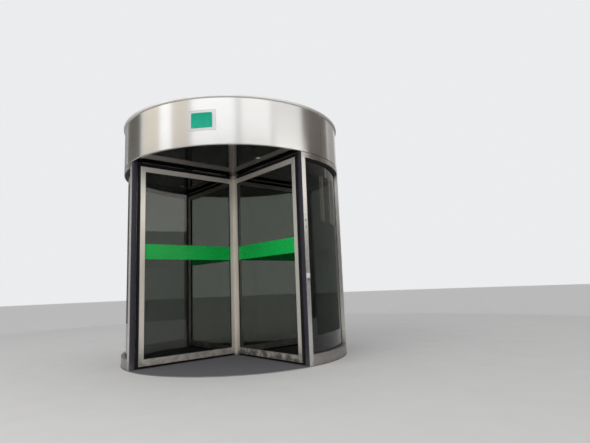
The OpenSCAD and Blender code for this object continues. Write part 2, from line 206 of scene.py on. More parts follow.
class Effects:
    """The shader node groups that the finishes share, each built once."""

    def __init__(self) -> None:
        """Builds all the groups."""
        self.unrolled = self._unrolled()
        self.grain = self._grain()
        self.dust = self._dust()
        self.speckle = self._speckle()
        self.edges = self._edges()

    @staticmethod
    def _unrolled() -> NodeTree:
        """Lays the drum out flat.

        Returns:
            The group, which gives arc length, height and radius.
        """
        bench = GroupBench("unrolled_drum")
        x, y, z = bench.split(bench.given[0])
        turn = bench.maths("ARCTAN2", y, x)
        radius = bench.add("VectorMath", {0: bench.vector(x, y, 0.0)}, operation="LENGTH").outputs["Value"]
        return bench.give(unrolled=bench.vector(bench.times(turn, DRUM_R), z, radius))

    @staticmethod
    def _grain() -> NodeTree:
        """Draws the brushing of a rolled sheet along the position's X.

        Returns:
            The group, which gives fine lines and slow bands.
        """
        bench = GroupBench("brushed_grain", "Line Width", "Line Length", "Band Width")
        place, *sizes = bench.given
        across, along, slow = (bench.maths("DIVIDE", 1.0, size) for size in sizes)
        lines = bench.noise(bench.scaled(place, bench.vector(along, across, across)), 1.0, 3.0, 0.65)
        drawn_out = bench.vector(bench.times(slow, 0.12), slow, slow)
        bands = bench.noise(bench.scaled(place, drawn_out), 1.0, 1.0)
        return bench.give(lines=bench.ranged(lines, (0.3, 0.7)), bands=bench.ranged(bands, (0.35, 0.65)))

    @staticmethod
    def _dust() -> NodeTree:
        """Settles dust near the floor and on faces that look up; with a dark dust colour it is partly painted
        shade.

        Returns:
            The group, which gives the dust's mask.
        """
        bench = GroupBench("settled_dust", "Reach", "Amount")
        place, reach, amount = bench.given
        height = bench.maths("DIVIDE", bench.split(place)[2], reach)
        low = bench.maths("SUBTRACT", 1.0, height, clamp=True)
        normal = bench.add("NewGeometry").outputs["Normal"]
        facing = bench.ranged(bench.split(normal)[2], (0.6, 1.0), (0.0, 0.6))
        patches = bench.ranged(bench.noise(place, 9.0, 4.0, 0.6), (0.38, 0.68), (0.25, 1.0))
        most = bench.maths("MAXIMUM", bench.times(low, low), facing)
        return bench.give(mask=bench.maths("MULTIPLY", bench.times(most, patches), amount, clamp=True))

    @staticmethod
    def _speckle() -> NodeTree:
        """Breaks up moulded, painted and woven surfaces.

        Returns:
            The group, which gives a fine height and a slower tone.
        """
        bench = GroupBench("fine_speckle", "Size")
        place, size = bench.given
        dense = bench.maths("DIVIDE", 1.0, size)
        place = bench.scaled(place, bench.vector(dense, dense, dense))
        tone = bench.ranged(bench.noise(place, 0.07, 3.0, 0.6), (0.35, 0.65))
        return bench.give(height=bench.noise(place, 1.0, 3.0, 0.6), tone=tone)

    @staticmethod
    def _edges() -> NodeTree:
        """Finds the edges that hands and feet rub bright.

        Returns:
            The group, which gives their mask.
        """
        bench = GroupBench("rubbed_edges", "Width")
        place, width = bench.given
        soft = bench.add("Bevel", {"Radius": width}, samples=4).outputs[0]
        plain = bench.add("NewGeometry").outputs["Normal"]
        dot = bench.add("VectorMath", {0: soft, 1: plain}, operation="DOT_PRODUCT").outputs["Value"]
        worn = bench.ranged(bench.noise(place, 14.0, 4.0, 0.65), (0.36, 0.62), (0.15, 1.0))
        return bench.give(mask=bench.maths("MULTIPLY", bench.ranged(dot, (0.98, 0.80)), worn, clamp=True))


EFFECTS = Effects()


class MaterialBench(Bench):
    """The nodes of one material: its shader, and the position on the door at rest."""

    def __init__(self, made: Material) -> None:
        """Empties a new material and places its shader.

        Args:
            made: the material.
        """
        made.use_nodes = True
        made.node_tree.nodes.clear()
        super().__init__(made.node_tree)
        self.shader = self.add("BsdfPrincipled")
        self.add("OutputMaterial", {"Surface": self.shader.outputs[0]})
        self.place = self.add("TexCoord").outputs["Object"]

    def effect(self, tree: NodeTree, **values: object) -> NodeOutputs:
        """Places a shared effect, which reads the position on the door unless it gets another.

        Args:
            tree: the effect's group.
            values: what its inputs get, with _ for each space in their names.

        Returns:
            Its outputs.
        """
        node = self.add("Group", node_tree=tree)
        for label, value in {"position": self.place, **values}.items():
            self.feed(node.inputs[label.replace("_", " ").title()], value)
        return node.outputs

    def coat(self, **values: object) -> None:
        """Feeds or sets the shader's inputs; their names have _ for each space."""
        for label, value in values.items():
            self.feed(self.shader.inputs[label.replace("_", " ").title().replace("Ior", "IOR")], value)

    def bump(self, height: NodeSocket, depth: float) -> None:
        """Feeds a height, raised by a depth, to the shader's normal."""
        node = self.add("Bump", {"Height": height, "Distance": depth, "Strength": 1.0})
        self.coat(normal=node.outputs[0])


def toned(colour: Colour, by: float) -> Colour:
    """Makes a colour lighter or darker."""
    return tuple(min(1.0, part * by) for part in colour)


class Finish:
    """A material that is built the first time it is asked for."""

    name: str
    built: ClassVar[dict[str, Material]] = {}

    def material(self) -> Material:
        """Gives the material.

        Returns:
            The one material of this finish.
        """
        if self.name not in self.built:
            self.built[self.name] = bpy.data.materials.new(self.name)
            self.mix(MaterialBench(self.built[self.name]))
        return self.built[self.name]

    def mix(self, bench: MaterialBench) -> None:
        """Sets the inputs of the bench's shader."""
        raise NotImplementedError


@dataclass(frozen=True)
class BrushedSteel(Finish):
    """Brushed stainless steel with lines along its grain and dust near the floor, which some finishes darken
    into partly painted shade.
    """

    name: str
    grain: Grain
    colour: Colour
    shade: Colour
    roughness: Span = (0.20, 0.34)
    anisotropy: float = 0.0
    line_width: float = 0.0012
    line_length: float = 0.16
    band_width: float = 0.09
    line_tone: float = 0.35
    line_depth: float = 0.00003
    dust_reach: float = 0.45
    dust: float = 0.5
    # A dark dust colour makes the dust near the floor partly painted shade.
    dust_colour: Colour = (0.46, 0.44, 0.41)
    rub: float = 0.5
    rub_width: float = 0.003
    metallic: float = 1.0

    def mix(self, bench: MaterialBench) -> None:
        """Lays the grain along its direction, then dust, on some finishes partly painted shade, and rubbed
        edges over it.

        Args:
            bench: the material's nodes.
        """
        grain = bench.effect(EFFECTS.grain, position=self._along(bench), line_width=self.line_width,
                             line_length=self.line_length, band_width=self.band_width)
        dust = bench.effect(EFFECTS.dust, reach=self.dust_reach, amount=self.dust)["Mask"]
        edge = bench.effect(EFFECTS.edges, width=self.rub_width)["Mask"]
        tone = bench.mixed(grain["Bands"], self.colour, self.shade)
        tone = bench.mixed(bench.times(grain["Lines"], self.line_tone), tone, self.shade)
        tone = bench.mixed(bench.times(edge, self.rub), tone, toned(self.colour, 1.3))
        rough = bench.ranged(grain["Lines"], (0.0, 1.0), self.roughness)
        bench.coat(base_color=bench.mixed(dust, tone, self.dust_colour),
                   roughness=bench.maths("ADD", rough, bench.times(dust, 0.3)),
                   metallic=self.metallic, anisotropic=self.anisotropy, anisotropic_rotation=0.25)
        if self.anisotropy:
            bench.coat(tangent=bench.add("Tangent", direction_type="RADIAL", axis="Z").outputs[0])
        bench.bump(grain["Lines"], self.line_depth)

    def _along(self, bench: MaterialBench) -> NodeSocket:
        """Turns the position so that its X runs with the grain.

        Args:
            bench: the material's nodes.

        Returns:
            The turned position.
        """
        if self.grain is Grain.ROUND:
            return bench.effect(EFFECTS.unrolled)["Unrolled"]
        if self.grain is Grain.UPRIGHT:
            x, y, z = bench.split(bench.place)
            return bench.vector(z, x, y)
        values = {"Vector": bench.place, "Angle": math.radians(-45 if self.grain is Grain.WING_A else 45)}
        return bench.add("VectorRotate", values, rotation_type="Z_AXIS").outputs[0]


@dataclass(frozen=True)
class TintedGlass(Finish):
    """Grey-green tinted safety glass with the slight roller waves of toughened panes."""

    name: str
    colour: Colour = (0.31, 0.325, 0.30)
    waves: float = 0.0004

    def mix(self, bench: MaterialBench) -> None:
        """Sets clear tinted glass, darkens its tint a little towards the floor as painted shade, and smears
        its roughness a little.

        Args:
            bench: the material's nodes.
        """
        flat = bench.effect(EFFECTS.unrolled)["Unrolled"]
        smear = bench.noise(bench.scaled(flat, (5.0, 1.2, 1.0)), 1.0, 3.0, 0.6)
        # The dust mask darkens the tint towards the floor: painted shade, not dust.
        dust = bench.effect(EFFECTS.dust, reach=0.5, amount=0.4)["Mask"]
        bench.coat(base_color=bench.mixed(bench.times(dust, 0.25), self.colour, toned(self.colour, 0.8)),
                   roughness=bench.ranged(smear, (0.5, 0.8), (0.0, 0.012)),
                   metallic=0.0, transmission_weight=1.0, ior=1.5)
        if self.waves:
            bench.bump(bench.noise(bench.scaled(flat, (3.2, 0.7, 1.0)), 1.0, 1.0), self.waves)


@dataclass(frozen=True)
class Film(Finish):
    """A translucent coloured film stuck on glass."""

    name: str
    colour: Colour

    def mix(self, bench: MaterialBench) -> None:
        """Lets part of the light through and mottles the rest.

        Args:
            bench: the material's nodes.
        """
        tone = bench.effect(EFFECTS.speckle, size=0.02)["Tone"]
        bench.coat(base_color=bench.mixed(tone, self.colour, toned(self.colour, 0.93)),
                   roughness=bench.ranged(tone, (0.0, 1.0), (0.22, 0.32)),
                   metallic=0.0, transmission_weight=0.15, ior=1.4)


@dataclass(frozen=True)
class Moulded(Finish):
    """Rubber, plastic, enamel or paint: a plain colour with fine unevenness and dust."""

    name: str
    colour: Colour
    shade: Colour
    roughness: Span
    speckle: float = 0.0015
    bump_depth: float = 0.0001
    dust: float = 0.3
    dust_reach: float = 0.4
    dust_colour: Colour = (0.30, 0.29, 0.27)
    coat: float = 0.0
    metallic: float = 0.0
    specular: float = 0.5

    def mix(self, bench: MaterialBench) -> None:
        """Mottles the colour and roughness and lays dust over them.

        Args:
            bench: the material's nodes.
        """
        speckle = bench.effect(EFFECTS.speckle, size=self.speckle)
        dust = bench.effect(EFFECTS.dust, reach=self.dust_reach, amount=self.dust)["Mask"]
        tone = bench.mixed(speckle["Tone"], self.colour, self.shade)
        rough = bench.ranged(speckle["Tone"], (0.0, 1.0), self.roughness)
        bench.coat(base_color=bench.mixed(dust, tone, self.dust_colour),
                   roughness=bench.maths("ADD", rough, bench.times(dust, 0.25)),
                   metallic=self.metallic, coat_weight=self.coat, specular_ior_level=self.specular)
        bench.bump(speckle["Height"], self.bump_depth)


@dataclass(frozen=True)
class Pile(Finish):
    """Fibres: brush hair or the pile of a mat."""

    name: str
    colour: Colour
    shade: Colour
    fibre: float = 0.0012
    sheen: float = 0.1

    def mix(self, bench: MaterialBench) -> None:
        """Breaks the colour up by fibre and by patch.

        Args:
            bench: the material's nodes.
        """
        speckle = bench.effect(EFFECTS.speckle, size=self.fibre)
        fine = bench.ranged(speckle["Height"], (0.35, 0.65))
        tone = bench.mixed(fine, self.colour, self.shade)
        bench.coat(base_color=bench.mixed(bench.times(speckle["Tone"], 0.4), tone, self.shade),
                   roughness=bench.ranged(fine, (0.0, 1.0), (0.8, 1.0)),
                   metallic=0.0, sheen_weight=self.sheen)
        bench.bump(speckle["Height"], 0.0006)


@dataclass(frozen=True)
class BlackMirror(Finish):
    """Dark mirror sheet of the ceiling."""

    name: str

    def mix(self, bench: MaterialBench) -> None:
        """Sets a dark polished metal with slow dents.

        Args:
            bench: the material's nodes.
        """
        tone = bench.effect(EFFECTS.speckle, size=0.03)["Tone"]
        bench.coat(base_color=bench.mixed(tone, (0.090, 0.085, 0.088), (0.068, 0.066, 0.069)),
                   roughness=bench.ranged(tone, (0.0, 1.0), (0.05, 0.10)), metallic=1.0)
        bench.bump(bench.noise(bench.place, 2.2, 2.0), 0.0012)


@dataclass(frozen=True)
class Lens(Finish):
    """Frosted cover of a small ceiling light."""

    name: str
    strength: float = 0.10

    def mix(self, bench: MaterialBench) -> None:
        """Sets a warm glow that the frosting mottles.

        Args:
            bench: the material's nodes.
        """
        height = bench.effect(EFFECTS.speckle, size=0.002)["Height"]
        glow = bench.mixed(height, (1.0, 0.93, 0.82), (0.92, 0.84, 0.72))
        bench.coat(base_color=glow, emission_color=glow, roughness=0.35, emission_strength=self.strength)


FASCIA = BrushedSteel("fascia_sheet", Grain.ROUND, (0.81, 0.795, 0.775), (0.76, 0.745, 0.72), (0.17, 0.25),
                      anisotropy=0.6, line_width=0.0016, line_length=0.4, band_width=0.35, dust=0.35,
                      dust_reach=0.3, rub=0.15)
# A lighter, less metallic copy of the fascia steel: a painted highlight for the light band that the lip
# mirrors.
LIP_STEEL_PAINTED_HIGHLIGHT = BrushedSteel("lip_steel_painted_highlight", Grain.ROUND, (0.86, 0.845, 0.82), (0.80, 0.785, 0.76), (0.24, 0.34),
                         anisotropy=0.4, dust=0.3, rub=0.1, metallic=0.4)
RAIL_STEEL = BrushedSteel("rail_steel", Grain.ROUND, (0.66, 0.64, 0.615), (0.57, 0.55, 0.525), (0.20, 0.32),
                          anisotropy=0.6, dust=0.4, rub=0.1)
KICK_STEEL = BrushedSteel("kick_steel", Grain.ROUND, (0.50, 0.475, 0.455), (0.42, 0.40, 0.38), (0.26, 0.40),
                          anisotropy=0.4, dust=0.7, dust_colour=(0.36, 0.34, 0.32))
# The post's dark dust near the floor is partly dust and partly painted shade, which darkens the post towards
# its foot.
POST_STEEL_DUST_AND_SHADE = BrushedSteel("post_steel", Grain.UPRIGHT, (0.76, 0.74, 0.71), (0.68, 0.66, 0.63), dust=1.0,
                          dust_colour=(0.34, 0.325, 0.305), metallic=0.8)
# The dark dust near the floor is partly dust and partly painted shade: it darkens the bottom rails and stile
# ends where they mirror the dark mat, and the stronger dust on the rails of wings 2 and 4 paints more shade
# on them than on the other wings.
FRAME_STEEL_DUST_AND_SHADE = {
    grain: BrushedSteel(f"frame_steel_{grain.name.lower()}", grain, (0.90, 0.85, 0.775), (0.76, 0.71, 0.64),
                        (0.26, 0.38), line_width=0.0016, dust=dust, dust_colour=(0.17, 0.16, 0.147),
                        metallic=0.45)
    for grain, dust in ((Grain.UPRIGHT, 1.3), (Grain.WING_A, 0.9), (Grain.WING_B, 2.0))
}
# A lighter copy of the frame steel: painted light on the column, which stands in the header's shade.
COLUMN_STEEL_PAINTED_LIGHT = BrushedSteel("column_steel_painted_light", Grain.UPRIGHT, (0.97, 0.905, 0.82), (0.84, 0.775, 0.695),
                            (0.32, 0.46), dust=0.4, metallic=0.4)
LIGHT_METAL = BrushedSteel("trim_metal", Grain.UPRIGHT, (0.74, 0.73, 0.71), (0.66, 0.65, 0.63), (0.22, 0.3),
                           dust=0.0)
WING_GLASS = TintedGlass("wing_glass", waves=0.0)
WALL_GLASS = TintedGlass("wall_glass", (0.168, 0.182, 0.167))
GREEN_FILM = Film("green_film", (0.008, 0.56, 0.095))
EDGE_RUBBER = Moulded("edge_rubber", (0.034, 0.029, 0.048), (0.026, 0.022, 0.036), (0.38, 0.52),
                      bump_depth=0.00006)
GASKET_RUBBER = Moulded("gasket_rubber", (0.022, 0.022, 0.024), (0.016, 0.016, 0.018), (0.5, 0.62))
BLACK_METAL = Moulded("black_anodised", (0.045, 0.043, 0.045), (0.032, 0.031, 0.034), (0.32, 0.42),
                      bump_depth=0.00003, metallic=0.6)
DARK_METAL = Moulded("blackened_metal", (0.060, 0.058, 0.064), (0.045, 0.044, 0.050), (0.3, 0.4),
                     metallic=0.8)
# Darker than the hair's own black: painted shade for the gap in which the brushes sit.
BRUSH_HAIR_PAINTED_SHADE = Pile("brush_hair", (0.009, 0.009, 0.010), (0.004, 0.004, 0.005), sheen=0.03)
MAT_PILE = Pile("mat_pile", (0.130, 0.130, 0.140), (0.075, 0.076, 0.083), fibre=0.0022)
MAT_BACK = Moulded("mat_backing", (0.030, 0.031, 0.034), (0.022, 0.023, 0.026), (0.7, 0.85), dust=0.15)
CEILING = BlackMirror("ceiling_mirror")
LIGHT_LENS = Lens("light_lens")
ROOF_PAINT = Moulded("roof_paint", (0.50, 0.50, 0.49), (0.47, 0.47, 0.46), (0.45, 0.6), speckle=0.002,
                     dust=0.45, dust_colour=(0.38, 0.37, 0.34), coat=0.1)
FRAME_PAINT = Moulded("frame_paint", (0.20, 0.20, 0.205), (0.16, 0.16, 0.165), (0.5, 0.6), speckle=0.003)
GREEN_ENAMEL = Moulded("plate_enamel", (0.004, 0.385, 0.245), (0.004, 0.345, 0.215), (0.42, 0.52),
                       speckle=0.004, bump_depth=0.00008, dust=0.0, specular=0.2)
PLATE_BACKING = Moulded("backing_sheet", (0.72, 0.72, 0.715), (0.67, 0.67, 0.665), (0.30, 0.38), dust=0.2,
                        metallic=0.85)
WHITE_PLASTIC = Moulded("switch_plastic", (0.80, 0.80, 0.83), (0.74, 0.74, 0.77), (0.25, 0.35), dust=0.1,
                        coat=0.2)


# Places, outlines and meshes


def spun(angle: float, axis: str = "Z") -> Matrix:
    """Gives a turn about an axis through the origin."""
    return Matrix.Rotation(math.radians(angle), 4, axis)


def moved(x: float, y: float, z: float) -> Matrix:
    """Gives a shift."""
    return Matrix.Translation((x, y, z))


def axis_out(angle: float, radius: float, height: float) -> Matrix:
    """Gives a place on the drum whose Z axis points straight out of it."""
    return spun(angle) @ moved(radius, 0.0, height) @ spun(90, "Y")


def oblong(across: Span, up: Span) -> Outline:
    """Draws an oblong."""
    return [(across[0], up[0]), (across[1], up[0]), (across[1], up[1]), (across[0], up[1])]


def arc(centre: Span, radius: float, angles: Sequence[float]) -> Outline:
    """Draws points on a circle at some angles."""
    return [(centre[0] + radius * math.cos(math.radians(t)), centre[1] + radius * math.sin(math.radians(t)))
            for t in angles]


def ring(profile: Outline, angle: float, place: Matrix = Matrix.Identity(4)) -> list[Vector]:
    """Stands a profile of radius and height at an angle about the Z axis of a place."""
    cos, sin = math.cos(math.radians(angle)), math.sin(math.radians(angle))
    return [place @ Vector((r * cos, r * sin, height)) for r, height in profile]


def placed(name: str, data: bpy.types.ID) -> Object:
    """Makes an object and puts it in the scene.

    Args:
        name: the object's name.
        data: its mesh, light or camera.

    Returns:
        The object.
    """
    made = bpy.data.objects.new(name, data)
    bpy.context.scene.collection.objects.link(made)
    return made


def dress(finish: Finish, *nodes: str) -> None:
    """Gives frame nodes a finish in place of the plain one that they came with.

    Args:
        finish: the finish.
        nodes: the names of the nodes.
    """
    for name in nodes:
        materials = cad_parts[name].data.materials
        materials.clear()
        materials.append(finish.material())


@dataclass(frozen=True)
class Screw:
    """A low domed screw head with a driver recess."""

    radius: float
    height: float
    sides: int

    def profile(self) -> Outline:
        """Draws half of its section."""
        r, h = self.radius, self.height
        return [(0.0, -SINK), (r, -SINK), (r, h * 0.3), (r * 0.82, h * 0.8), (r * 0.55, h),
                (r * 0.42, h * 0.96), (r * 0.36, h * 0.45), (0.0, h * 0.4)]


class Shaper:
    """Collects closed solids in one mesh, in the door's own frame."""

    def __init__(self) -> None:
        """Starts an empty mesh."""
        self.mesh = bmesh.new()

    def skin(self, rings: Sequence[Sequence[Vector]], closed: bool = False) -> None:
        """Joins rings of points to a solid.

        Args:
            rings: the cross-sections in order, each with the same number of points.
            closed: whether the last ring joins the first, which leaves no ends to cap.
        """
        rows = [[self.mesh.verts.new(point) for point in points] for points in rings]
        for low, high in zip(rows, rows[1:] + rows[:1] if closed else rows[1:]):
            for i, j in zip(range(len(low)), [*range(1, len(low)), 0]):
                self.mesh.faces.new((low[i], low[j], high[j], high[i]))
        if not closed:
            self.mesh.faces.new(rows[0][::-1])
            self.mesh.faces.new(rows[-1])

    def upright(self, outline: Outline, z: Span, turn: float = 0.0) -> None:
        """Adds an outline drawn in plan, between two levels, turned about the rotor's axis."""
        self.skin([[spun(turn) @ Vector((x, y, level)) for x, y in outline] for level in z])

    def level(self, section: Outline, x: Span, turn: float = 0.0) -> None:
        """Adds a section drawn across the X axis, between two places on it, turned in the same way."""
        self.skin([[spun(turn) @ Vector((along, y, z)) for y, z in section] for along in x])

    def block(self, x: Span, y: Span, z: Span, turn: float = 0.0) -> None:
        """Adds a box whose X and Y axes are turned about the rotor's axis."""
        self.upright(oblong(x, y), z, turn)

    def bent(self, profile: Outline, angles: Span, steps: int) -> None:
        """Sweeps a profile of radius and height round the rotor's axis between two angles."""
        start, end = angles
        self.skin([ring(profile, start + (end - start) * k / steps) for k in range(steps + 1)])

    def turned(self, profile: Outline, place: Matrix, steps: int) -> None:
        """Turns a profile of radius and height right round the Z axis of a place."""
        self.skin([ring(profile, 360 * k / steps, place) for k in range(steps)], closed=True)

    def screw(self, screw: Screw, place: Matrix) -> None:
        """Sets a screw at a place."""
        self.turned(screw.profile(), place, screw.sides)

    def rod(self, path: Sequence[Vector], radius: float, across: Vector) -> None:
        """Sweeps a round section along a path.

        Args:
            path: the points of its centre line, all in one plane.
            radius: the rod's radius.
            across: the direction square to that plane.
        """
        rings, section = [], arc((0.0, 0.0), radius, range(0, 360, 30))
        for before, point, after in zip(path[:1] + path, path, path[1:] + path[-1:]):
            above = (after - before).normalized().cross(across)
            rings.append([point + u * across + v * above for u, v in section])
        self.skin(rings)

    def solid(self, name: str, finish: Finish) -> Object:
        """Turns what was collected into an object.

        Args:
            name: the object's name.
            finish: its finish.

        Returns:
            The new object.
        """
        bmesh.ops.remove_doubles(self.mesh, verts=self.mesh.verts, dist=WELD)
        bmesh.ops.recalc_face_normals(self.mesh, faces=self.mesh.faces)
        data = bpy.data.meshes.new(name)
        self.mesh.to_mesh(data)
        self.mesh.free()
        data.materials.append(finish.material())
        return placed(name, data)

    def piece(self, name: str, finish: Finish, body: Body, slot: str, bevel: float = 0.0) -> Object:
        """Turns what was collected into a piece of the door.

        Args:
            name: the piece's name.
            finish: its finish.
            body: what it rides on.
            slot: the name of the record's material slot; not used.
            bevel: width of the rounding on its sharp edges, or 0 for none.

        Returns:
            The new object.
        """
        made = self.solid(name, finish)
        made.data.shade_smooth()
        made.data.set_sharp_from_angle(angle=math.radians(SHARP_FROM))
        if bevel:
            edge = made.modifiers.new("rounded edges", "BEVEL")
            edge.width, edge.segments, edge.limit_method = bevel, 2, "ANGLE"
            edge.angle_limit, edge.harden_normals = math.radians(BEVEL_FROM), True
        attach(made, body.value)
        return made


# The door's sub-assemblies


@dataclass
class Floor:
    """The sunken mat, its pan and the rotor's floor bearing."""

    mat_r: float = 1.6007
    wall_r: float = 1.5247
    hole_r: float = 0.0753
    sill: float = 45.745
    base_z: Span = (0.003, 0.0060)
    top: float = 0.0080
    pitch: float = 0.0125
    rib: float = 0.0085
    rib_sink: float = 0.0004
    flank: Span = (0.0014, 0.0011)
    rim_gap: float = 0.002
    land_gap: float = 0.004
    hole_gap: float = 0.006

    def build(self) -> None:
        """Lays the mat and dresses the metal round it."""
        dress(KICK_STEEL, "floor_pan")
        dress(LIGHT_METAL, "floor_bearing")
        self._backing()
        self._ribs()

    def _backing(self) -> None:
        """Cuts the backing as a ring with two lands that reach out through the openings."""
        shaper, half = Shaper(), 90.0 - self.sill
        shaper.turned(oblong((self.hole_r, self.wall_r), self.base_z), Matrix.Identity(4), steps=180)
        land = oblong((self.wall_r, self.mat_r), self.base_z)
        for middle in (90.0, 270.0):
            shaper.bent(land, (middle - half, middle + half), steps=44)
        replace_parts(shaper.piece("mat_backing", MAT_BACK, Body.DRUM, "entrance_mat"), "floor_mat")

    def _ribs(self) -> None:
        """Lays ribs with sloped flanks across the walking direction, cut to the mat's outline."""
        shaper, half, foot = Shaper(), self.rib / 2, self.base_z[1] - self.rib_sink
        crest, shoulder = half - self.flank[0], self.top - self.flank[1]
        section = [(-half, foot), (half, foot), (half, shoulder), (crest, self.top), (-crest, self.top),
                   (-half, shoulder)]
        count = int(self.mat_r / self.pitch)
        for k in range(-count, count + 1):
            y = k * self.pitch
            for run in self._runs(y):
                shaper.level([(y + across, z) for across, z in section], run)
        made = shaper.piece("mat_ribs", MAT_PILE, Body.DRUM, "entrance_mat")
        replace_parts(made, "floor_mat")
        log.info("floor: backing and %d rib faces", len(made.data.polygons))

    def _runs(self, y: float) -> list[Span]:
        """Finds the stretches of one rib.

        Args:
            y: its distance from the rotor's axis.

        Returns:
            Where each stretch starts and ends.
        """
        near, slant = abs(y) + self.rib / 2, math.radians(self.sill)
        if near >= self.mat_r - self.land_gap:
            return []
        end = math.sqrt(self.mat_r**2 - near**2) - self.rim_gap
        if near < self.mat_r * math.sin(slant):
            land = min(end, near / math.tan(slant) - self.land_gap)
            end = math.sqrt(max(self.wall_r**2 - near**2, 0.0)) - self.rim_gap
            if near > self.wall_r * math.sin(slant):
                end = max(end, land)
        if abs(y) >= self.hole_r:
            return [(-end, end)]
        start = math.sqrt(self.hole_r**2 - y**2) + self.hole_gap
        return [(-end, -start), (start, end)]


@dataclass
class Walls:
    """The two curved glass walls: panes, framing, gaskets and safety edges."""

    kick_top: float = 0.140
    rail_low: float = 2.628
    pane: Span = (1.535, 1.545)
    side: float = 1.433
    post: float = 42.808
    end: float = 45.1
    bead: float = 0.007
    lip_thick: float = 0.003
    # The outer top bead runs on under the rail as a thin black liner: painted shade on the rail's underside.
    shade_liner_out: float = 0.047
    shade_liner_slope: float = 0.004
    edge_r: Span = (1.526, 1.598)
    edge_z: Span = (0.009, 2.699)
    edge_gap: float = 0.0003
    edge_out: float = 0.0137
    edge_steps: int = 30
    nose_shape: Span = (3.2, 0.55)
    flute: float = 0.0013
    flute_every: int = 6
    flute_within: float = 0.8
    foot_r: Span = (1.5475, 1.5775)
    foot_deep: float = 0.0034
    wall_middle: float = 1.56
    joint_z: Span = (2.6962, 2.7008)
    joint_r: Span = (1.5990, 1.6008)
    joint_slope: float = 0.0006

    def build(self) -> None:
        """Dresses the framing and fits gaskets and edges."""
        dress(KICK_STEEL, "kick_left", "kick_right")
        dress(RAIL_STEEL, "top_rail_left", "top_rail_right")
        dress(POST_STEEL_DUST_AND_SHADE, "side_posts", *(f"post_{name}" for name in QUARTERS))
        dress(WALL_GLASS, *(f"glass_{name}" for name in QUARTERS))
        self._gaskets()
        self._joints()
        for side, sy in (("front", -1), ("rear", 1)):
            shaper = Shaper()
            for sx in SIDES:
                shaper.upright([(sx * x, sy * y) for x, y in self._nose()], self.edge_z)
            made = shaper.piece(f"safety_edge_{side}", EDGE_RUBBER, Body.DRUM, "dark_rubber")
            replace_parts(made, f"edge_{side}")
        log.info("walls: 4 gaskets, 2 pairs of safety edges")

    def _gaskets(self) -> None:
        """Runs a bead round both faces of each pane."""
        (inner, outer), bead = self.pane, self.bead
        width = math.degrees(bead / outer)
        faces = (inner - bead, inner), (outer, outer + bead)
        foot, whole = (self.kick_top, self.kick_top + bead), (self.kick_top, self.rail_low)
        beads = [(oblong(face, foot), (self.side, self.post), 30) for face in faces]
        beads += [(lip, (self.side, self.post), 30) for lip in self._top_lips()]
        beads += [(oblong(face, whole), ends, 1) for face in faces
                  for ends in ((self.side, self.side + width), (self.post - width, self.post))]
        for name, (sx, sy) in QUARTERS.items():
            shaper = Shaper()
            for profile, (low, high), steps in beads:
                low, high = (180.0 - high, 180.0 - low) if sx < 0 else (low, high)
                shaper.bent(profile, (-high, -low) if sy < 0 else (low, high), steps)
            shaper.piece(f"gasket_{name}", GASKET_RUBBER, Body.DRUM, "dark_rubber", bevel=0.0012)

    def _top_lips(self) -> tuple[Outline, Outline]:
        """Draws the beads at the pane's top edge.

        Returns:
            The one inside, and the one outside, which also lines the rail's underside in black rubber as
            painted shade.
        """
        (inner, outer), bead, top = self.pane, self.bead, self.rail_low
        low, thin, far = top - bead - self.lip_thick, top - self.lip_thick, outer + self.shade_liner_out
        outside = [(outer, low), (outer + bead, low), (outer + bead + self.shade_liner_slope, thin), (far, thin),
                   (far, top), (outer, top)]
        return oblong((inner - bead, inner), (low, top)), outside

    def _joints(self) -> None:
        """Seals the joint between each wall's top rail and the fascia."""
        shaper, (low, high), (back, face) = Shaper(), self.joint_z, self.joint_r
        profile = [(back, low), (face, low + self.joint_slope), (face, high - self.joint_slope), (back, high)]
        for middle in (0.0, 180.0):
            shaper.bent(profile, (middle - self.end, middle + self.end), steps=90)
        shaper.piece("header_joint", GASKET_RUBBER, Body.DRUM, "dark_rubber")

    def _nose(self) -> Outline:
        """Draws the rubber nose on a wall's end: a rounded section with grip flutes, on a foot.

        Returns:
            Its outline in plan, in the quarter between +X and +Y.
        """
        (inner, outer), (square, blunt), points = self.edge_r, self.nose_shape, []
        for k in range(self.edge_steps + 1):
            u = 2.0 * k / self.edge_steps - 1.0
            fluted = k % self.flute_every == self.flute_every // 2 and abs(u) < self.flute_within
            out = self.edge_out * (1.0 - abs(u)**square)**blunt - (self.flute if fluted else 0.0)
            points.append(((inner + outer) / 2 + u * (outer - inner) / 2, max(out, self.edge_gap)))
        foot = oblong(self.foot_r, (-self.foot_deep, self.edge_gap))
        points += [foot[2], foot[1], foot[0], foot[3]]
        turns = [math.radians(self.end) + out / self.wall_middle for _, out in points]
        return [(r * math.cos(turn), r * math.sin(turn)) for (r, _), turn in zip(points, turns)]


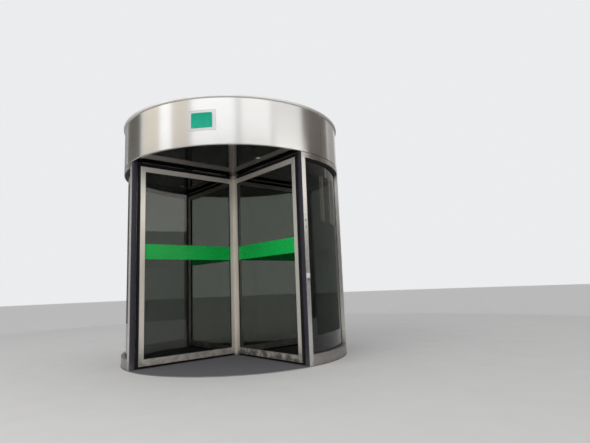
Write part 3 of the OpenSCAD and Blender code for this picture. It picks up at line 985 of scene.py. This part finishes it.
@dataclass
class PostFittings:
    """Switch plate and locks on the front right post."""

    direction: float = -43.954
    switch_z: float = 1.1
    switch_out: float = 0.009
    switch_screw: Screw = Screw(0.0022, 0.001, 20)
    switch_screw_at: float = 0.022
    lock_z: tuple[float, ...] = (1.047, 1.714, 1.80)
    lock_r: tuple[float, ...] = (0.012, 0.010, 0.010)
    lock_out: tuple[float, ...] = (0.010, 0.006, 0.006)
    key_slot: Outline = ((0.0, 0.0), (0.62, 0.0), (0.62, 0.0006), (0.5, 0.001), (0.0, 0.001))
    lock_ring: Outline = ((0.0, 0.0), (0.003, 0.0), (0.003, 0.0015), (0.0015, 0.003), (0.0, 0.003))
    rocker_rim: tuple[Span, Span, Span] = ((-0.001, 0.0015), (-0.013, 0.013), (-0.016, 0.016))
    rocker: Outline = ((0.0, -0.013), (0.0045, -0.013), (0.0022, 0.0), (0.003, 0.013), (0.0, 0.013))
    rocker_half: float = 0.010

    def build(self) -> None:
        """Dresses the plates and adds rocker, screws, lock rings and key slots."""
        dress(WHITE_PLASTIC, "switch_plate")
        dress(DARK_METAL, "post_locks")
        self._rocker()
        rings = Shaper()
        for z, r, out in zip(self.lock_z, self.lock_r, self.lock_out):
            rim = [(r + x, y) for x, y in self.lock_ring]
            rings.turned(rim, axis_out(self.direction, DRUM_R, z), steps=40)
            slot = [(r * share, y) for share, y in self.key_slot]
            rings.turned(slot, axis_out(self.direction, DRUM_R + out, z), steps=32)
        for side in SIDES:
            level = self.switch_z + side * self.switch_screw_at
            rings.screw(self.switch_screw, axis_out(self.direction, DRUM_R + self.switch_out, level))
        rings.piece("lock_rings", LIGHT_METAL, Body.DRUM, "light_metal")
        log.info("post fittings: rocker, %d lock rings", len(self.lock_z))

    def _rocker(self) -> None:
        """Stands the rocker in its rim on the plate."""
        shaper, face = Shaper(), DRUM_R + self.switch_out
        out, across, up = self.rocker_rim
        shaper.block((face + out[0], face + out[1]), across, (self.switch_z + up[0], self.switch_z + up[1]),
                     self.direction)
        profile = [(face + x, self.switch_z + z) for x, z in self.rocker]
        turn = spun(self.direction)
        shaper.skin([[turn @ Vector((x, side * self.rocker_half, z)) for x, z in profile] for side in SIDES])
        shaper.piece("switch_rocker", WHITE_PLASTIC, Body.DRUM, "white_plastic", bevel=0.0008)


@dataclass
class Header:
    """Fascia, lip, roof cover, and the ceiling with its lights."""

    light_at: float = 1.070
    light_dirs: tuple[float, ...] = (-60.0, -24.0, 120.0, 156.0)
    ceiling_z: float = 2.703
    trim: Outline = ((0.031, -SINK), (0.042, -0.0002), (0.042, 0.001), (0.038, 0.0025), (0.033, 0.0028),
                     (0.031, 0.001))
    lens_r: float = 0.0308
    lens_rise: float = 0.0018
    lens_sink: float = 0.001

    def build(self) -> None:
        """Dresses the header and adds a trim ring and a frosted lens under each ceiling light."""
        dress(FASCIA, "fascia_front", "fascia_right", "fascia_rear", "fascia_left")
        dress(LIP_STEEL_PAINTED_HIGHLIGHT, "top_lip")
        dress(ROOF_PAINT, "roof_cover")
        dress(FRAME_PAINT, "header_frame")
        dress(CEILING, "ceiling_disc")
        dress(LIGHT_METAL, "ceiling_lights", "shaft_collar")
        trims, lenses = Shaper(), Shaper()
        dome = [(self.lens_r * x, self.lens_rise * z) for x, z in arc((0.0, 0.0), 1.0, (0, 20, 40, 60, 78))]
        for angle in self.light_dirs:
            place = spun(angle) @ moved(self.light_at, 0.0, self.ceiling_z) @ spun(180, "X")
            trims.turned(self.trim, place, steps=48)
            lenses.turned([(0.0, -self.lens_sink), *dome, (0.0, self.lens_rise)], place, steps=40)
        trims.piece("light_trims", DARK_METAL, Body.DRUM, "dark_metal")
        lenses.piece("light_lenses", LIGHT_LENS, Body.DRUM, "light_metal")
        log.info("header: %d lights", len(self.light_dirs))


@dataclass(frozen=True)
class Pressing:
    """The sizes of one sheet of the number plate: half its extents, its corners, and its pressed step."""

    half: Span
    corner: float
    margin: float
    strip: float
    depth: float
    screw_inset: float
    screw_sink: float
    slope: float = 0.0012
    bends: int = 12

    def across(self) -> list[float]:
        """Places the lines on which the sheet is bent and its corners and step are drawn.

        Returns:
            Their distances from its middle, from one end to the other.
        """
        half, inset = self.half[0], self.margin + self.strip
        right = [half - self.corner * (1 - math.sin(math.radians(t))) for t in range(0, 91, 18)]
        right += [half - inset, half - inset - self.slope]
        right += [half * k / self.bends for k in range(1, self.bends)]
        right = sorted({round(x, 6) for x in right})
        return [-x for x in right[::-1]] + [0.0] + right


@dataclass
class NumberPlate:
    """The bare green number plate, pressed with a border, on its rimmed backing, both bent to the fascia."""

    direction: float = -91.65
    level: float = 3.01815
    seat: float = 0.0003
    thick: float = 0.0025
    screw: Screw = Screw(0.0038, 0.0016, 24)
    backing: Pressing = Pressing((0.181, 0.131), 0.010, 0.0, 0.006, -0.0012, 0.018, 0.0012)
    plate: Pressing = Pressing((0.133, 0.096), 0.014, 0.005, 0.0035, -0.0006, 0.016, 0.0006)

    def build(self) -> None:
        """Makes the plate, its backing and their screws."""
        back, face, front = (DRUM_R + layers * self.thick for layers in (0, 1, 2))
        sheet, screws = Shaper(), Shaper()
        self._sheet(sheet, self.backing, (back + self.seat, face))
        made = sheet.piece("plate_backing", PLATE_BACKING, Body.DRUM, "plate_backing", bevel=0.0004)
        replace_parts(made, "plate_back")
        sheet = Shaper()
        self._sheet(sheet, self.plate, (face + self.seat, front))
        made = sheet.piece("plate_enamelled", GREEN_ENAMEL, Body.DRUM, "green_enamel", bevel=0.0005)
        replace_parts(made, "number_plate")
        self._screws(screws, self.plate, front)
        self._screws(screws, self.backing, face)
        screws.piece("plate_screws", LIGHT_METAL, Body.DRUM, "light_metal")
        log.info("number plate: backing, plate, 8 screws")

    def _sheet(self, shaper: Shaper, pressing: Pressing, r: Span) -> None:
        """Bends a round-cornered sheet to the drum, with a sunken field inside its edge strip.

        Args:
            shaper: what it is added to.
            pressing: its sizes.
            r: the radii of its back and its face.
        """
        (half_x, half_z), corner = pressing.half, pressing.corner
        inset, rings = pressing.margin + pressing.strip, []
        for x in pressing.across():
            over = max(abs(x) - (half_x - corner), 0.0)
            height = half_z - corner + math.sqrt(max(corner**2 - over**2, 0.0))
            sunken = abs(x) <= half_x - inset - pressing.slope + TINY
            edge, field = height - inset, height - inset - pressing.slope
            face = r[1] + (pressing.depth if sunken else 0.0)
            points = [(r[0], -height), (r[1], -height), (r[1], -edge), (face, -field), (face, field),
                      (r[1], edge), (r[1], height), (r[0], height)]
            points = [(radius, self.level + z) for radius, z in points]
            rings.append(ring(points, self.direction + math.degrees(x / DRUM_R)))
        shaper.skin(rings)

    def _screws(self, shaper: Shaper, pressing: Pressing, face: float) -> None:
        """Sets a screw near each corner of a sheet.

        Args:
            shaper: what the screws are added to.
            pressing: the sheet's sizes.
            face: the radius of its face.
        """
        half_x, half_z = (half - pressing.screw_inset for half in pressing.half)
        for sx in SIDES:
            for sz in SIDES:
                angle = self.direction + math.degrees(sx * half_x / DRUM_R)
                place = axis_out(angle, face - pressing.screw_sink, self.level + sz * half_z)
                shaper.screw(self.screw, place)


@dataclass
class Roof:
    """What stands on the roof cover: seam strips, screws, hatch handles, lifting eyes and cable glands."""

    level: float = 3.270
    reach: float = 1.575
    hatch: Span = (0.82, 0.56)
    hatch_top: float = 3.284
    hatch_rim: float = 0.03
    box: Span = (1.080, 0.13)
    box_top: float = 3.312
    strip: Outline = ((-0.024, 0.0), (0.024, 0.0), (0.024, 0.002), (0.008, 0.003), (0.006, 0.012),
                      (-0.006, 0.012), (-0.008, 0.003), (-0.024, 0.002))
    strip_sink: float = 0.0003
    strip_gap: float = 0.02
    strip_before_box: float = 0.09
    strip_screw: Screw = Screw(0.004, 0.002, 16)
    strip_screw_r: tuple[float, ...] = (0.62, 0.86, 1.30, 1.54)
    strip_screw_at: Span = (0.016, 0.0022)
    hatch_screw: Screw = Screw(0.006, 0.003, 20)
    hatch_screw_x: Span = (0.385, 0.13)
    hatch_screw_y: Span = (0.255, 0.09)
    lid_screws: Span = (0.078, 0.012)
    handle_x: float = 0.29
    handle_half: float = 0.06
    handle_rise: float = 0.034
    handle_corner: float = 0.014
    handle_r: float = 0.0045
    foot: Outline = ((0.0, -SINK), (0.012, -SINK), (0.012, 0.002), (0.009, 0.004), (0.0, 0.004))
    eye_r: float = 1.38
    eye_dirs: tuple[float, ...] = (22.5, 157.5, 202.5, 337.5)
    eye_foot: Outline = ((0.0, -SINK), (0.026, -SINK), (0.026, 0.004), (0.020, 0.006), (0.011, 0.007),
                         (0.009, 0.014), (0.0, 0.014))
    eye_loop: float = 0.015
    eye_z: float = 0.030
    eye_rod_r: float = 0.0045
    gland: Outline = ((0.0, -0.001), (0.013, -0.001), (0.013, 0.005), (0.011, 0.006), (0.011, 0.013),
                      (0.009, 0.016), (0.007, 0.020), (0.0, 0.020))
    gland_at: Span = (0.045, 0.021)

    def build(self) -> None:
        """Adds the roof's fittings."""
        self._seams()
        self._screws()
        self._lifting()
        self._glands()
        log.info("roof: 8 seams, %d lifting eyes, hatch handles, cable glands", len(self.eye_dirs))

    def _seams(self) -> None:
        """Covers the joints of the roof sheets with folded strips, from the hatch out to the rim."""
        shaper, section = Shaper(), [(y, self.level - self.strip_sink + z) for y, z in self.strip]
        half_x, half_y = (side / 2 + self.hatch_rim for side in self.hatch)
        for angle in range(0, 360, 45):
            cos, sin = abs(math.cos(math.radians(angle))), abs(math.sin(math.radians(angle)))
            start = min(half_x / max(cos, TINY), half_y / max(sin, TINY)) + self.strip_gap
            stops = [start, self.reach]
            if angle == 90:
                stops[1:1] = [self.box[0] - self.strip_before_box, sum(self.box) + self.strip_gap]
            for run in zip(stops[::2], stops[1::2]):
                shaper.level(section, run, angle)
        shaper.piece("roof_seams", ROOF_PAINT, Body.DRUM, "painted_steel", bevel=0.001)

    def _screws(self) -> None:
        """Screws down the hatch, the cable box's lid and the seam strips."""
        shaper, (side, rise), (lid_x, lid_in) = Shaper(), self.strip_screw_at, self.lid_screws
        (x1, x0), (y1, y0) = self.hatch_screw_x, self.hatch_screw_y
        rows = [(x, y, self.hatch_top) for x in (-x1, -x0, x0, x1) for y in (-y1, y1)]
        rows += [(x, y, self.hatch_top) for x in (-x1, x1) for y in (-y0, y0)]
        rows += [(x, self.box[0] + y, self.box_top) for x in (-lid_x, lid_x)
                 for y in (lid_in, self.box[1] - lid_in)]
        for row in rows:
            shaper.screw(self.hatch_screw, moved(*row))
        for angle in range(0, 360, 45):
            for r in self.strip_screw_r:
                for y in (-side, side):
                    shaper.screw(self.strip_screw, spun(angle) @ moved(r, y, self.level + rise))
        shaper.piece("roof_screws", LIGHT_METAL, Body.DRUM, "light_metal")

    def _lifting(self) -> None:
        """Bends the hatch's two handles and stands the four lifting eyes on their flanges."""
        shaper, half, top = Shaper(), self.handle_half, self.hatch_top
        centre = (half - self.handle_corner, top + self.handle_rise - self.handle_corner)
        leg = [(half, top - SINK)] + arc(centre, self.handle_corner, (0, 22.5, 45, 67.5, 90))
        for x in (-self.handle_x, self.handle_x):
            path = [Vector((x, -y, z)) for y, z in leg] + [Vector((x, y, z)) for y, z in leg[::-1]]
            shaper.rod(path, self.handle_r, Vector((1.0, 0.0, 0.0)))
            for y in (-half, half):
                shaper.turned(self.foot, moved(x, y, top), steps=24)
        loop = arc((self.eye_loop, 0.0), self.eye_rod_r, range(0, 360, 45))
        for angle in self.eye_dirs:
            place = spun(angle) @ moved(self.eye_r, 0.0, self.level)
            shaper.turned(self.eye_foot, place, steps=28)
            shaper.turned(loop, place @ moved(0.0, 0.0, self.eye_z) @ spun(90, "X"), steps=28)
        shaper.piece("roof_lifting_gear", LIGHT_METAL, Body.DRUM, "light_metal")

    def _glands(self) -> None:
        """Fits two blanked cable glands to the box's side that faces the hatch."""
        shaper, (x, rise) = Shaper(), self.gland_at
        for side in SIDES:
            place = moved(side * x, self.box[0], self.level + rise) @ spun(90, "X")
            shaper.turned(self.gland, place, steps=24)
        shaper.piece("roof_cable_glands", GASKET_RUBBER, Body.DRUM, "dark_rubber")


@dataclass(frozen=True)
class Brush:
    """One brush seal: the way it points, its run, and the frame's edge, holder and tip across the run."""

    way: str
    run: Span
    edge: float
    deep: float
    tip: float


@dataclass
class Wing:
    """One framed glass wing with gaskets, green bands, screws and brush seals."""

    number: int
    direction: float
    glass_x: Span = (0.098, 1.419)
    glass_z: Span = (0.123, 2.577)
    frame_z: Span = (0.040, 2.645)
    reach: float = 1.485
    half_glass: float = 0.005
    half_frame: float = 0.025
    bead: float = 0.006
    band_z: Span = (1.40, 1.60)
    band_out: Span = (0.00005, 0.0005)
    screw: Screw = Screw(0.0045, 0.0018, 20)
    screw_x: Span = (-0.026, 0.033)
    screw_z: tuple[float, ...] = (0.062, 0.100, 2.627, 2.595)
    brush_z: Span = (0.0145, 2.6965)
    brush_reach: float = 1.5185
    brush_start: float = 0.059
    brush_top_start: float = 0.087
    holder_deep: float = 0.007
    holder_half: float = 0.008
    rail_thick: float = 0.0018
    rail_half: float = 0.021
    seat: float = 0.0003
    seed: int = 40
    tuft_pitch: float = 0.0052
    tuft_row: float = 0.0032
    row_shift: float = 0.49
    tuft_root: Span = (0.0024, 0.0030)
    tuft_tip: Span = (0.0018, 0.0022)
    tuft_grip: float = 0.8
    tuft_lean: float = 0.0022
    tuft_bow: float = 0.0012
    run_end: float = 0.003

    def build(self) -> None:
        """Dresses the frame and fits everything that the frame holds."""
        level = Grain.WING_A if self.direction % 180 == 45 else Grain.WING_B
        dress(FRAME_STEEL_DUST_AND_SHADE[Grain.UPRIGHT], f"wing_{self.number}_stiles")
        dress(FRAME_STEEL_DUST_AND_SHADE[level], f"wing_{self.number}_rails")
        dress(WING_GLASS, f"wing_{self.number}_glass")
        self._gasket()
        self._band()
        self._screws()
        self._holders()
        self._hair()

    def _piece(self, shaper: Shaper, part: str, finish: Finish, slot: str, bevel: float = 0.0) -> Object:
        """Names a part after the wing, lets it ride on the rotor and returns it."""
        return shaper.piece(f"wing_{self.number}_{part}", finish, Body.ROTOR, slot, bevel)

    def _gasket(self) -> None:
        """Runs a bead round the glass on both faces."""
        shaper, bead, (x0, x1), (z0, z1) = Shaper(), self.bead, self.glass_x, self.glass_z
        for side in SIDES:
            y = sorted((side * self.half_glass, side * (self.half_glass + bead)))
            for z in ((z0, z0 + bead), (z1 - bead, z1)):
                shaper.block((x0, x1), y, z, self.direction)
            for x in ((x0, x0 + bead), (x1 - bead, x1)):
                shaper.block(x, y, (z0 + bead, z1 - bead), self.direction)
        self._piece(shaper, "gasket", GASKET_RUBBER, "dark_rubber", bevel=0.001)

    def _band(self) -> None:
        """Sticks the green band on both faces of the glass."""
        shaper, x = Shaper(), (self.glass_x[0] + self.bead, self.glass_x[1] - self.bead)
        for side in SIDES:
            y = sorted(side * (self.half_glass + out) for out in self.band_out)
            shaper.block(x, y, self.band_z, self.direction)
        self._piece(shaper, "band", GREEN_FILM, "green_enamel")

    def _screws(self) -> None:
        """Sets the corner screws of the frame on both faces."""
        shaper = Shaper()
        for x in (self.glass_x[0] + self.screw_x[0], self.glass_x[1] + self.screw_x[1]):
            for z in self.screw_z:
                for side in SIDES:
                    place = spun(self.direction) @ moved(x, side * self.half_frame, z) @ spun(-90 * side, "X")
                    shaper.screw(self.screw, place)
        self._piece(shaper, "screws", LIGHT_METAL, "light_metal")

    def _brushes(self) -> tuple[Brush, Brush, Brush]:
        """Places the brushes.

        Returns:
            The brushes at the bottom, the top and the outer stile.
        """
        (low, high), deep = self.frame_z, self.holder_deep
        return (Brush("down", (self.brush_start, self.reach), low, -deep, self.brush_z[0]),
                Brush("up", (self.brush_top_start, self.reach), high, deep, self.brush_z[1]),
                Brush("out", self.brush_z, self.reach + self.seat, deep, self.brush_reach))

    def _holders(self) -> None:
        """Runs the thin metal channels that grip the brush hair."""
        shaper, y = Shaper(), (-self.holder_half, self.holder_half)
        for brush in self._brushes():
            across = sorted((brush.edge, brush.edge + brush.deep))
            if brush.way == "out":
                shaper.block(across, y, brush.run, self.direction)
                shaper.block((brush.edge, brush.edge + self.rail_thick), (-self.rail_half, self.rail_half),
                             self.frame_z, self.direction)
            else:
                shaper.block(brush.run, y, across, self.direction)
        made = self._piece(shaper, "brush_holders", BLACK_METAL, "dark_rubber", bevel=0.0008)
        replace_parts(made, "wing_seals")

    def _hair(self) -> None:
        """Plants two staggered rows of tufts along each brush."""
        shaper, draw, pitch = Shaper(), random.Random(self.seed + self.number), self.tuft_pitch
        for brush in self._brushes():
            (start, stop), root = brush.run, brush.edge + brush.deep * self.tuft_grip
            for row, y in ((0, -self.tuft_row), (1, self.tuft_row)):
                for k in range(int((stop - start) / pitch)):
                    along = start + (k + 0.5 + self.row_shift * row) * pitch
                    if along > stop - self.run_end:
                        continue
                    lean = draw.uniform(-self.tuft_lean, self.tuft_lean)
                    bow = draw.uniform(-self.tuft_bow, self.tuft_bow)
                    short = draw.uniform(0.0, self.tuft_bow) * (1 if brush.tip < root else -1)
                    tip = (along + lean, brush.tip + short, y + bow)
                    self._tuft(shaper, brush.way, (along, root, y), tip)
        made = self._piece(shaper, "brush_hair", BRUSH_HAIR_PAINTED_SHADE, "dark_rubber")
        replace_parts(made, "wing_seals")
        log.info("wing %d: gasket, band, screws, brushes with %d faces", self.number, len(made.data.polygons))

    def _tuft(self, shaper: Shaper, way: str, root: Sequence[float], tip: Sequence[float]) -> None:
        """Adds one flat tuft from its root to its slimmer tip.

        Args:
            shaper: what it is added to.
            way: the way the brush points.
            root: its place along the brush, across the gap and through the wing at the holder.
            tip: the same at its free end.
        """
        rings = []
        for (along, across, y), (wide, thick) in ((root, self.tuft_root), (tip, self.tuft_tip)):
            corners = [(along + u, y + v) for u, v in oblong((-wide, wide), (-thick, thick))]
            points = [(across, v, u) if way == "out" else (u, v, across) for u, v in corners]
            rings.append([spun(self.direction) @ Vector(point) for point in points])
        shaper.skin(rings)


@dataclass
class Column:
    """The square centre column with its clamp bands."""

    half: float = 0.045
    bands_z: tuple[float, ...] = (0.060, 1.345, 2.630)
    clamp_half: float = 0.012
    proud: float = 0.0008

    def build(self) -> None:
        """Dresses the column and wraps its corners in clamps."""
        dress(COLUMN_STEEL_PAINTED_LIGHT, "column")
        shaper, corner, half = Shaper(), self.half * math.sqrt(2), self.clamp_half
        outline = [(corner - half, -half), (corner + self.proud, 0.0), (corner - half, half)]
        for turn in range(0, 360, 90):
            for z in self.bands_z:
                shaper.upright(outline, (z - half, z + half), turn)
        shaper.piece("column_clamps", COLUMN_STEEL_PAINTED_LIGHT, Body.ROTOR, "frame_steel")
        log.info("column: %d clamp corners", 4 * len(self.bands_z))


# The studio


@dataclass(frozen=True)
class Card:
    """A soft panel or a dark flag that stands round the door for its metal and glass to mirror."""

    name: str
    azimuths: Span
    glow: Colour
    levels: Span = (0.03, 4.5)
    distance: float = 9.0
    facet: float = 4.0

    def build(self) -> None:
        """Stands the card up, bent round the door, where only mirrored rays meet it."""
        (start, end), points = self.azimuths, []
        steps = max(2, int((end - start) / self.facet))
        edge = [(self.distance, level) for level in self.levels]
        for k in range(steps + 1):
            points += ring(edge, start + (end - start) * k / steps)
        data = bpy.data.meshes.new(self.name)
        data.from_pydata(points, [], [(2 * k, 2 * k + 2, 2 * k + 3, 2 * k + 1) for k in range(steps)])
        data.materials.append(self._glowing())
        card = placed(self.name, data)
        card.visible_camera = card.visible_diffuse = card.visible_transmission = card.visible_shadow = False

    def _glowing(self) -> Material:
        """Makes the card's even glow.

        Returns:
            The card's own material.
        """
        made = bpy.data.materials.new(self.name)
        made.use_nodes = True
        made.node_tree.nodes.clear()
        bench = Bench(made.node_tree)
        glow = bench.add("Emission", {"Color": self.glow, "Strength": 1.0})
        bench.add("OutputMaterial", {"Surface": glow.outputs[0]})
        return made


@dataclass(frozen=True)
class Softbox:
    """A large soft lamp that faces the door."""

    name: str
    azimuth: float
    distance: float
    level: float
    size: Span
    power: float
    colour: Colour
    aim: float = 1.6

    def build(self) -> None:
        """Hangs the lamp."""
        centre = ring([(self.distance, self.level)], self.azimuth)[0]
        data = bpy.data.lights.new(self.name, "AREA")
        data.shape, data.size, data.size_y = "RECTANGLE", *self.size
        data.color, data.energy = self.colour, self.power
        lamp = placed(self.name, data)
        lamp.location, lamp.rotation_mode = centre, "QUATERNION"
        lamp.rotation_quaternion = (Vector((0.0, 0.0, self.aim)) - centre).to_track_quat("-Z", "Y")
        lamp.visible_camera = lamp.visible_glossy = lamp.visible_transmission = False


HIGH = (4.5, 12.0)
LIGHTS = (
    Softbox("key_light", -118.0, 7.5, 8.5, (5.0, 4.0), 205.0, (1.0, 0.98, 0.95)),
    Softbox("front_light", -97.0, 9.0, 3.4, (8.0, 4.0), 140.0, (1.0, 0.99, 0.97)),
    Card("high_flag_right", (-8.0, 34.0), (0.155, 0.14, 0.125), HIGH),
    Card("high_flag_far_right", (37.0, 62.0), (0.40, 0.385, 0.37), HIGH),
    Card("high_flag_left", (151.0, 183.0), (0.135, 0.13, 0.115), HIGH),
    Card("high_flag_far_left", (124.0, 149.0), (0.34, 0.34, 0.35), HIGH),
    Card("high_warm_left", (186.5, 209.0), (0.86, 0.81, 0.72), HIGH),
    Card("high_panel_narrow", (-150.0, -137.0), (1.32, 1.33, 1.34), HIGH),
    Card("high_warm_front", (-136.0, -119.0), (0.82, 0.77, 0.69), HIGH),
    Card("high_panel_left", (-116.0, -76.0), (1.24, 1.26, 1.28), HIGH),
    Card("high_panel_right", (-70.5, -43.0), (1.17, 1.18, 1.19), HIGH),
    Card("low_flag_left", (-176.0, -139.0), (0.12, 0.115, 0.11)),
    Card("low_flag_front_left", (-136.0, -98.0), (0.16, 0.155, 0.145)),
    Card("low_flag_front", (-97.0, -47.0), (0.13, 0.13, 0.12)),
    Card("low_flag_front_right", (-44.0, -13.0), (0.14, 0.135, 0.13)),
    Card("low_flag_post", (-12.0, -4.0), (0.16, 0.15, 0.14), (0.03, 2.6)),
    Card("low_panel_post", (-40.0, -4.0), (1.75, 1.71, 1.63), (3.0, 4.9), 8.9),
    Card("low_flag_right", (-3.0, 21.0), (0.07, 0.07, 0.065)),
    Card("low_warm_right", (21.5, 27.0), (0.42, 0.36, 0.25)),
    Card("near_flag_right", (-3.0, 80.0), (0.06, 0.058, 0.052), (0.03, 2.3), 4.2),
    Card("low_flag_far_right", (28.0, 44.0), (0.12, 0.11, 0.10)),
    Card("low_warm_far_right", (44.2, 47.0), (0.46, 0.40, 0.30)),
    Card("low_flag_behind", (47.0, 120.0), (0.20, 0.20, 0.19)),
    Card("low_flag_far_left", (124.0, 152.0), (0.11, 0.11, 0.105)),
    Card("low_panel_left", (153.0, 181.0), (0.42, 0.41, 0.39)),
)


@dataclass
class Studio:
    """Pale floor, soft light and the camera."""

    floor_colour: Colour = (0.70, 0.695, 0.69)
    sky_colour: Colour = (0.83, 0.84, 0.85)
    fill_colour: Colour = (0.64, 0.645, 0.65)
    floor_r: float = 60.0
    floor_z: Span = (-0.02, -0.0005)
    focal_px: float = 443.69
    frame_px: float = 590.0
    film_mm: float = 36.0
    place: tuple[float, float, float] = (1.4335, -6.6710, 0.9591)
    yaw: float = 4.32583
    pitch: float = 8.42248
    roll: float = -2.20589

    def build(self) -> None:
        """Sets up floor, world, lights and camera."""
        self._floor()
        self._world()
        for light in LIGHTS:
            light.build()
        self._camera()
        log.info("studio ready")

    def _floor(self) -> None:
        """Lays the pale floor round the door."""
        shaper = Shaper()
        shaper.turned(oblong((0.0, self.floor_r), self.floor_z), Matrix.Identity(4), steps=96)
        shaper.solid("studio_floor", Moulded(
            "studio_floor", self.floor_colour, toned(self.floor_colour, 0.97), (0.75, 0.85), speckle=0.03,
            bump_depth=0.0003, dust=0.0))

    def _world(self) -> None:
        """Sets the pale backdrop that is seen and mirrored, and the fill light that falls on the door."""
        world = bpy.context.scene.world = bpy.data.worlds.new("studio")
        world.use_nodes = True
        bench = Bench(world.node_tree)
        rays = bench.add("LightPath").outputs
        seen = bench.maths("MAXIMUM", rays["Is Camera Ray"], rays["Is Glossy Ray"])
        seen = bench.maths("MAXIMUM", seen, rays["Is Transmission Ray"])
        back = world.node_tree.nodes["Background"]
        bench.feed(back.inputs["Color"], bench.mixed(seen, self.fill_colour, self.sky_colour))

    def _camera(self) -> None:
        """Stands the camera where the photograph was taken from."""
        data = bpy.data.cameras.new("camera")
        data.sensor_width, data.lens = self.film_mm, self.film_mm * self.focal_px / self.frame_px
        camera = bpy.context.scene.camera = placed("camera", data)
        turn = spun(self.yaw) @ spun(90 + self.pitch, "X") @ spun(self.roll)
        camera.matrix_world = moved(*self.place) @ turn
        bpy.context.scene.view_settings.view_transform = "Standard"


def main() -> None:
    """Builds the door's looks in order; each part reports what it made."""
    logging.basicConfig(level=logging.INFO, format="%(name)s: %(message)s")
    fixed = (Studio(), Floor(), Walls(), PostFittings(), Header(), NumberPlate(), Roof())
    wings = (Wing(number, direction) for number, direction in enumerate((-135.0, -45.0, 45.0, 135.0), 1))
    for part in (*fixed, Column(), *wings):
        part.build()


if __name__ == "__main__":
    main()
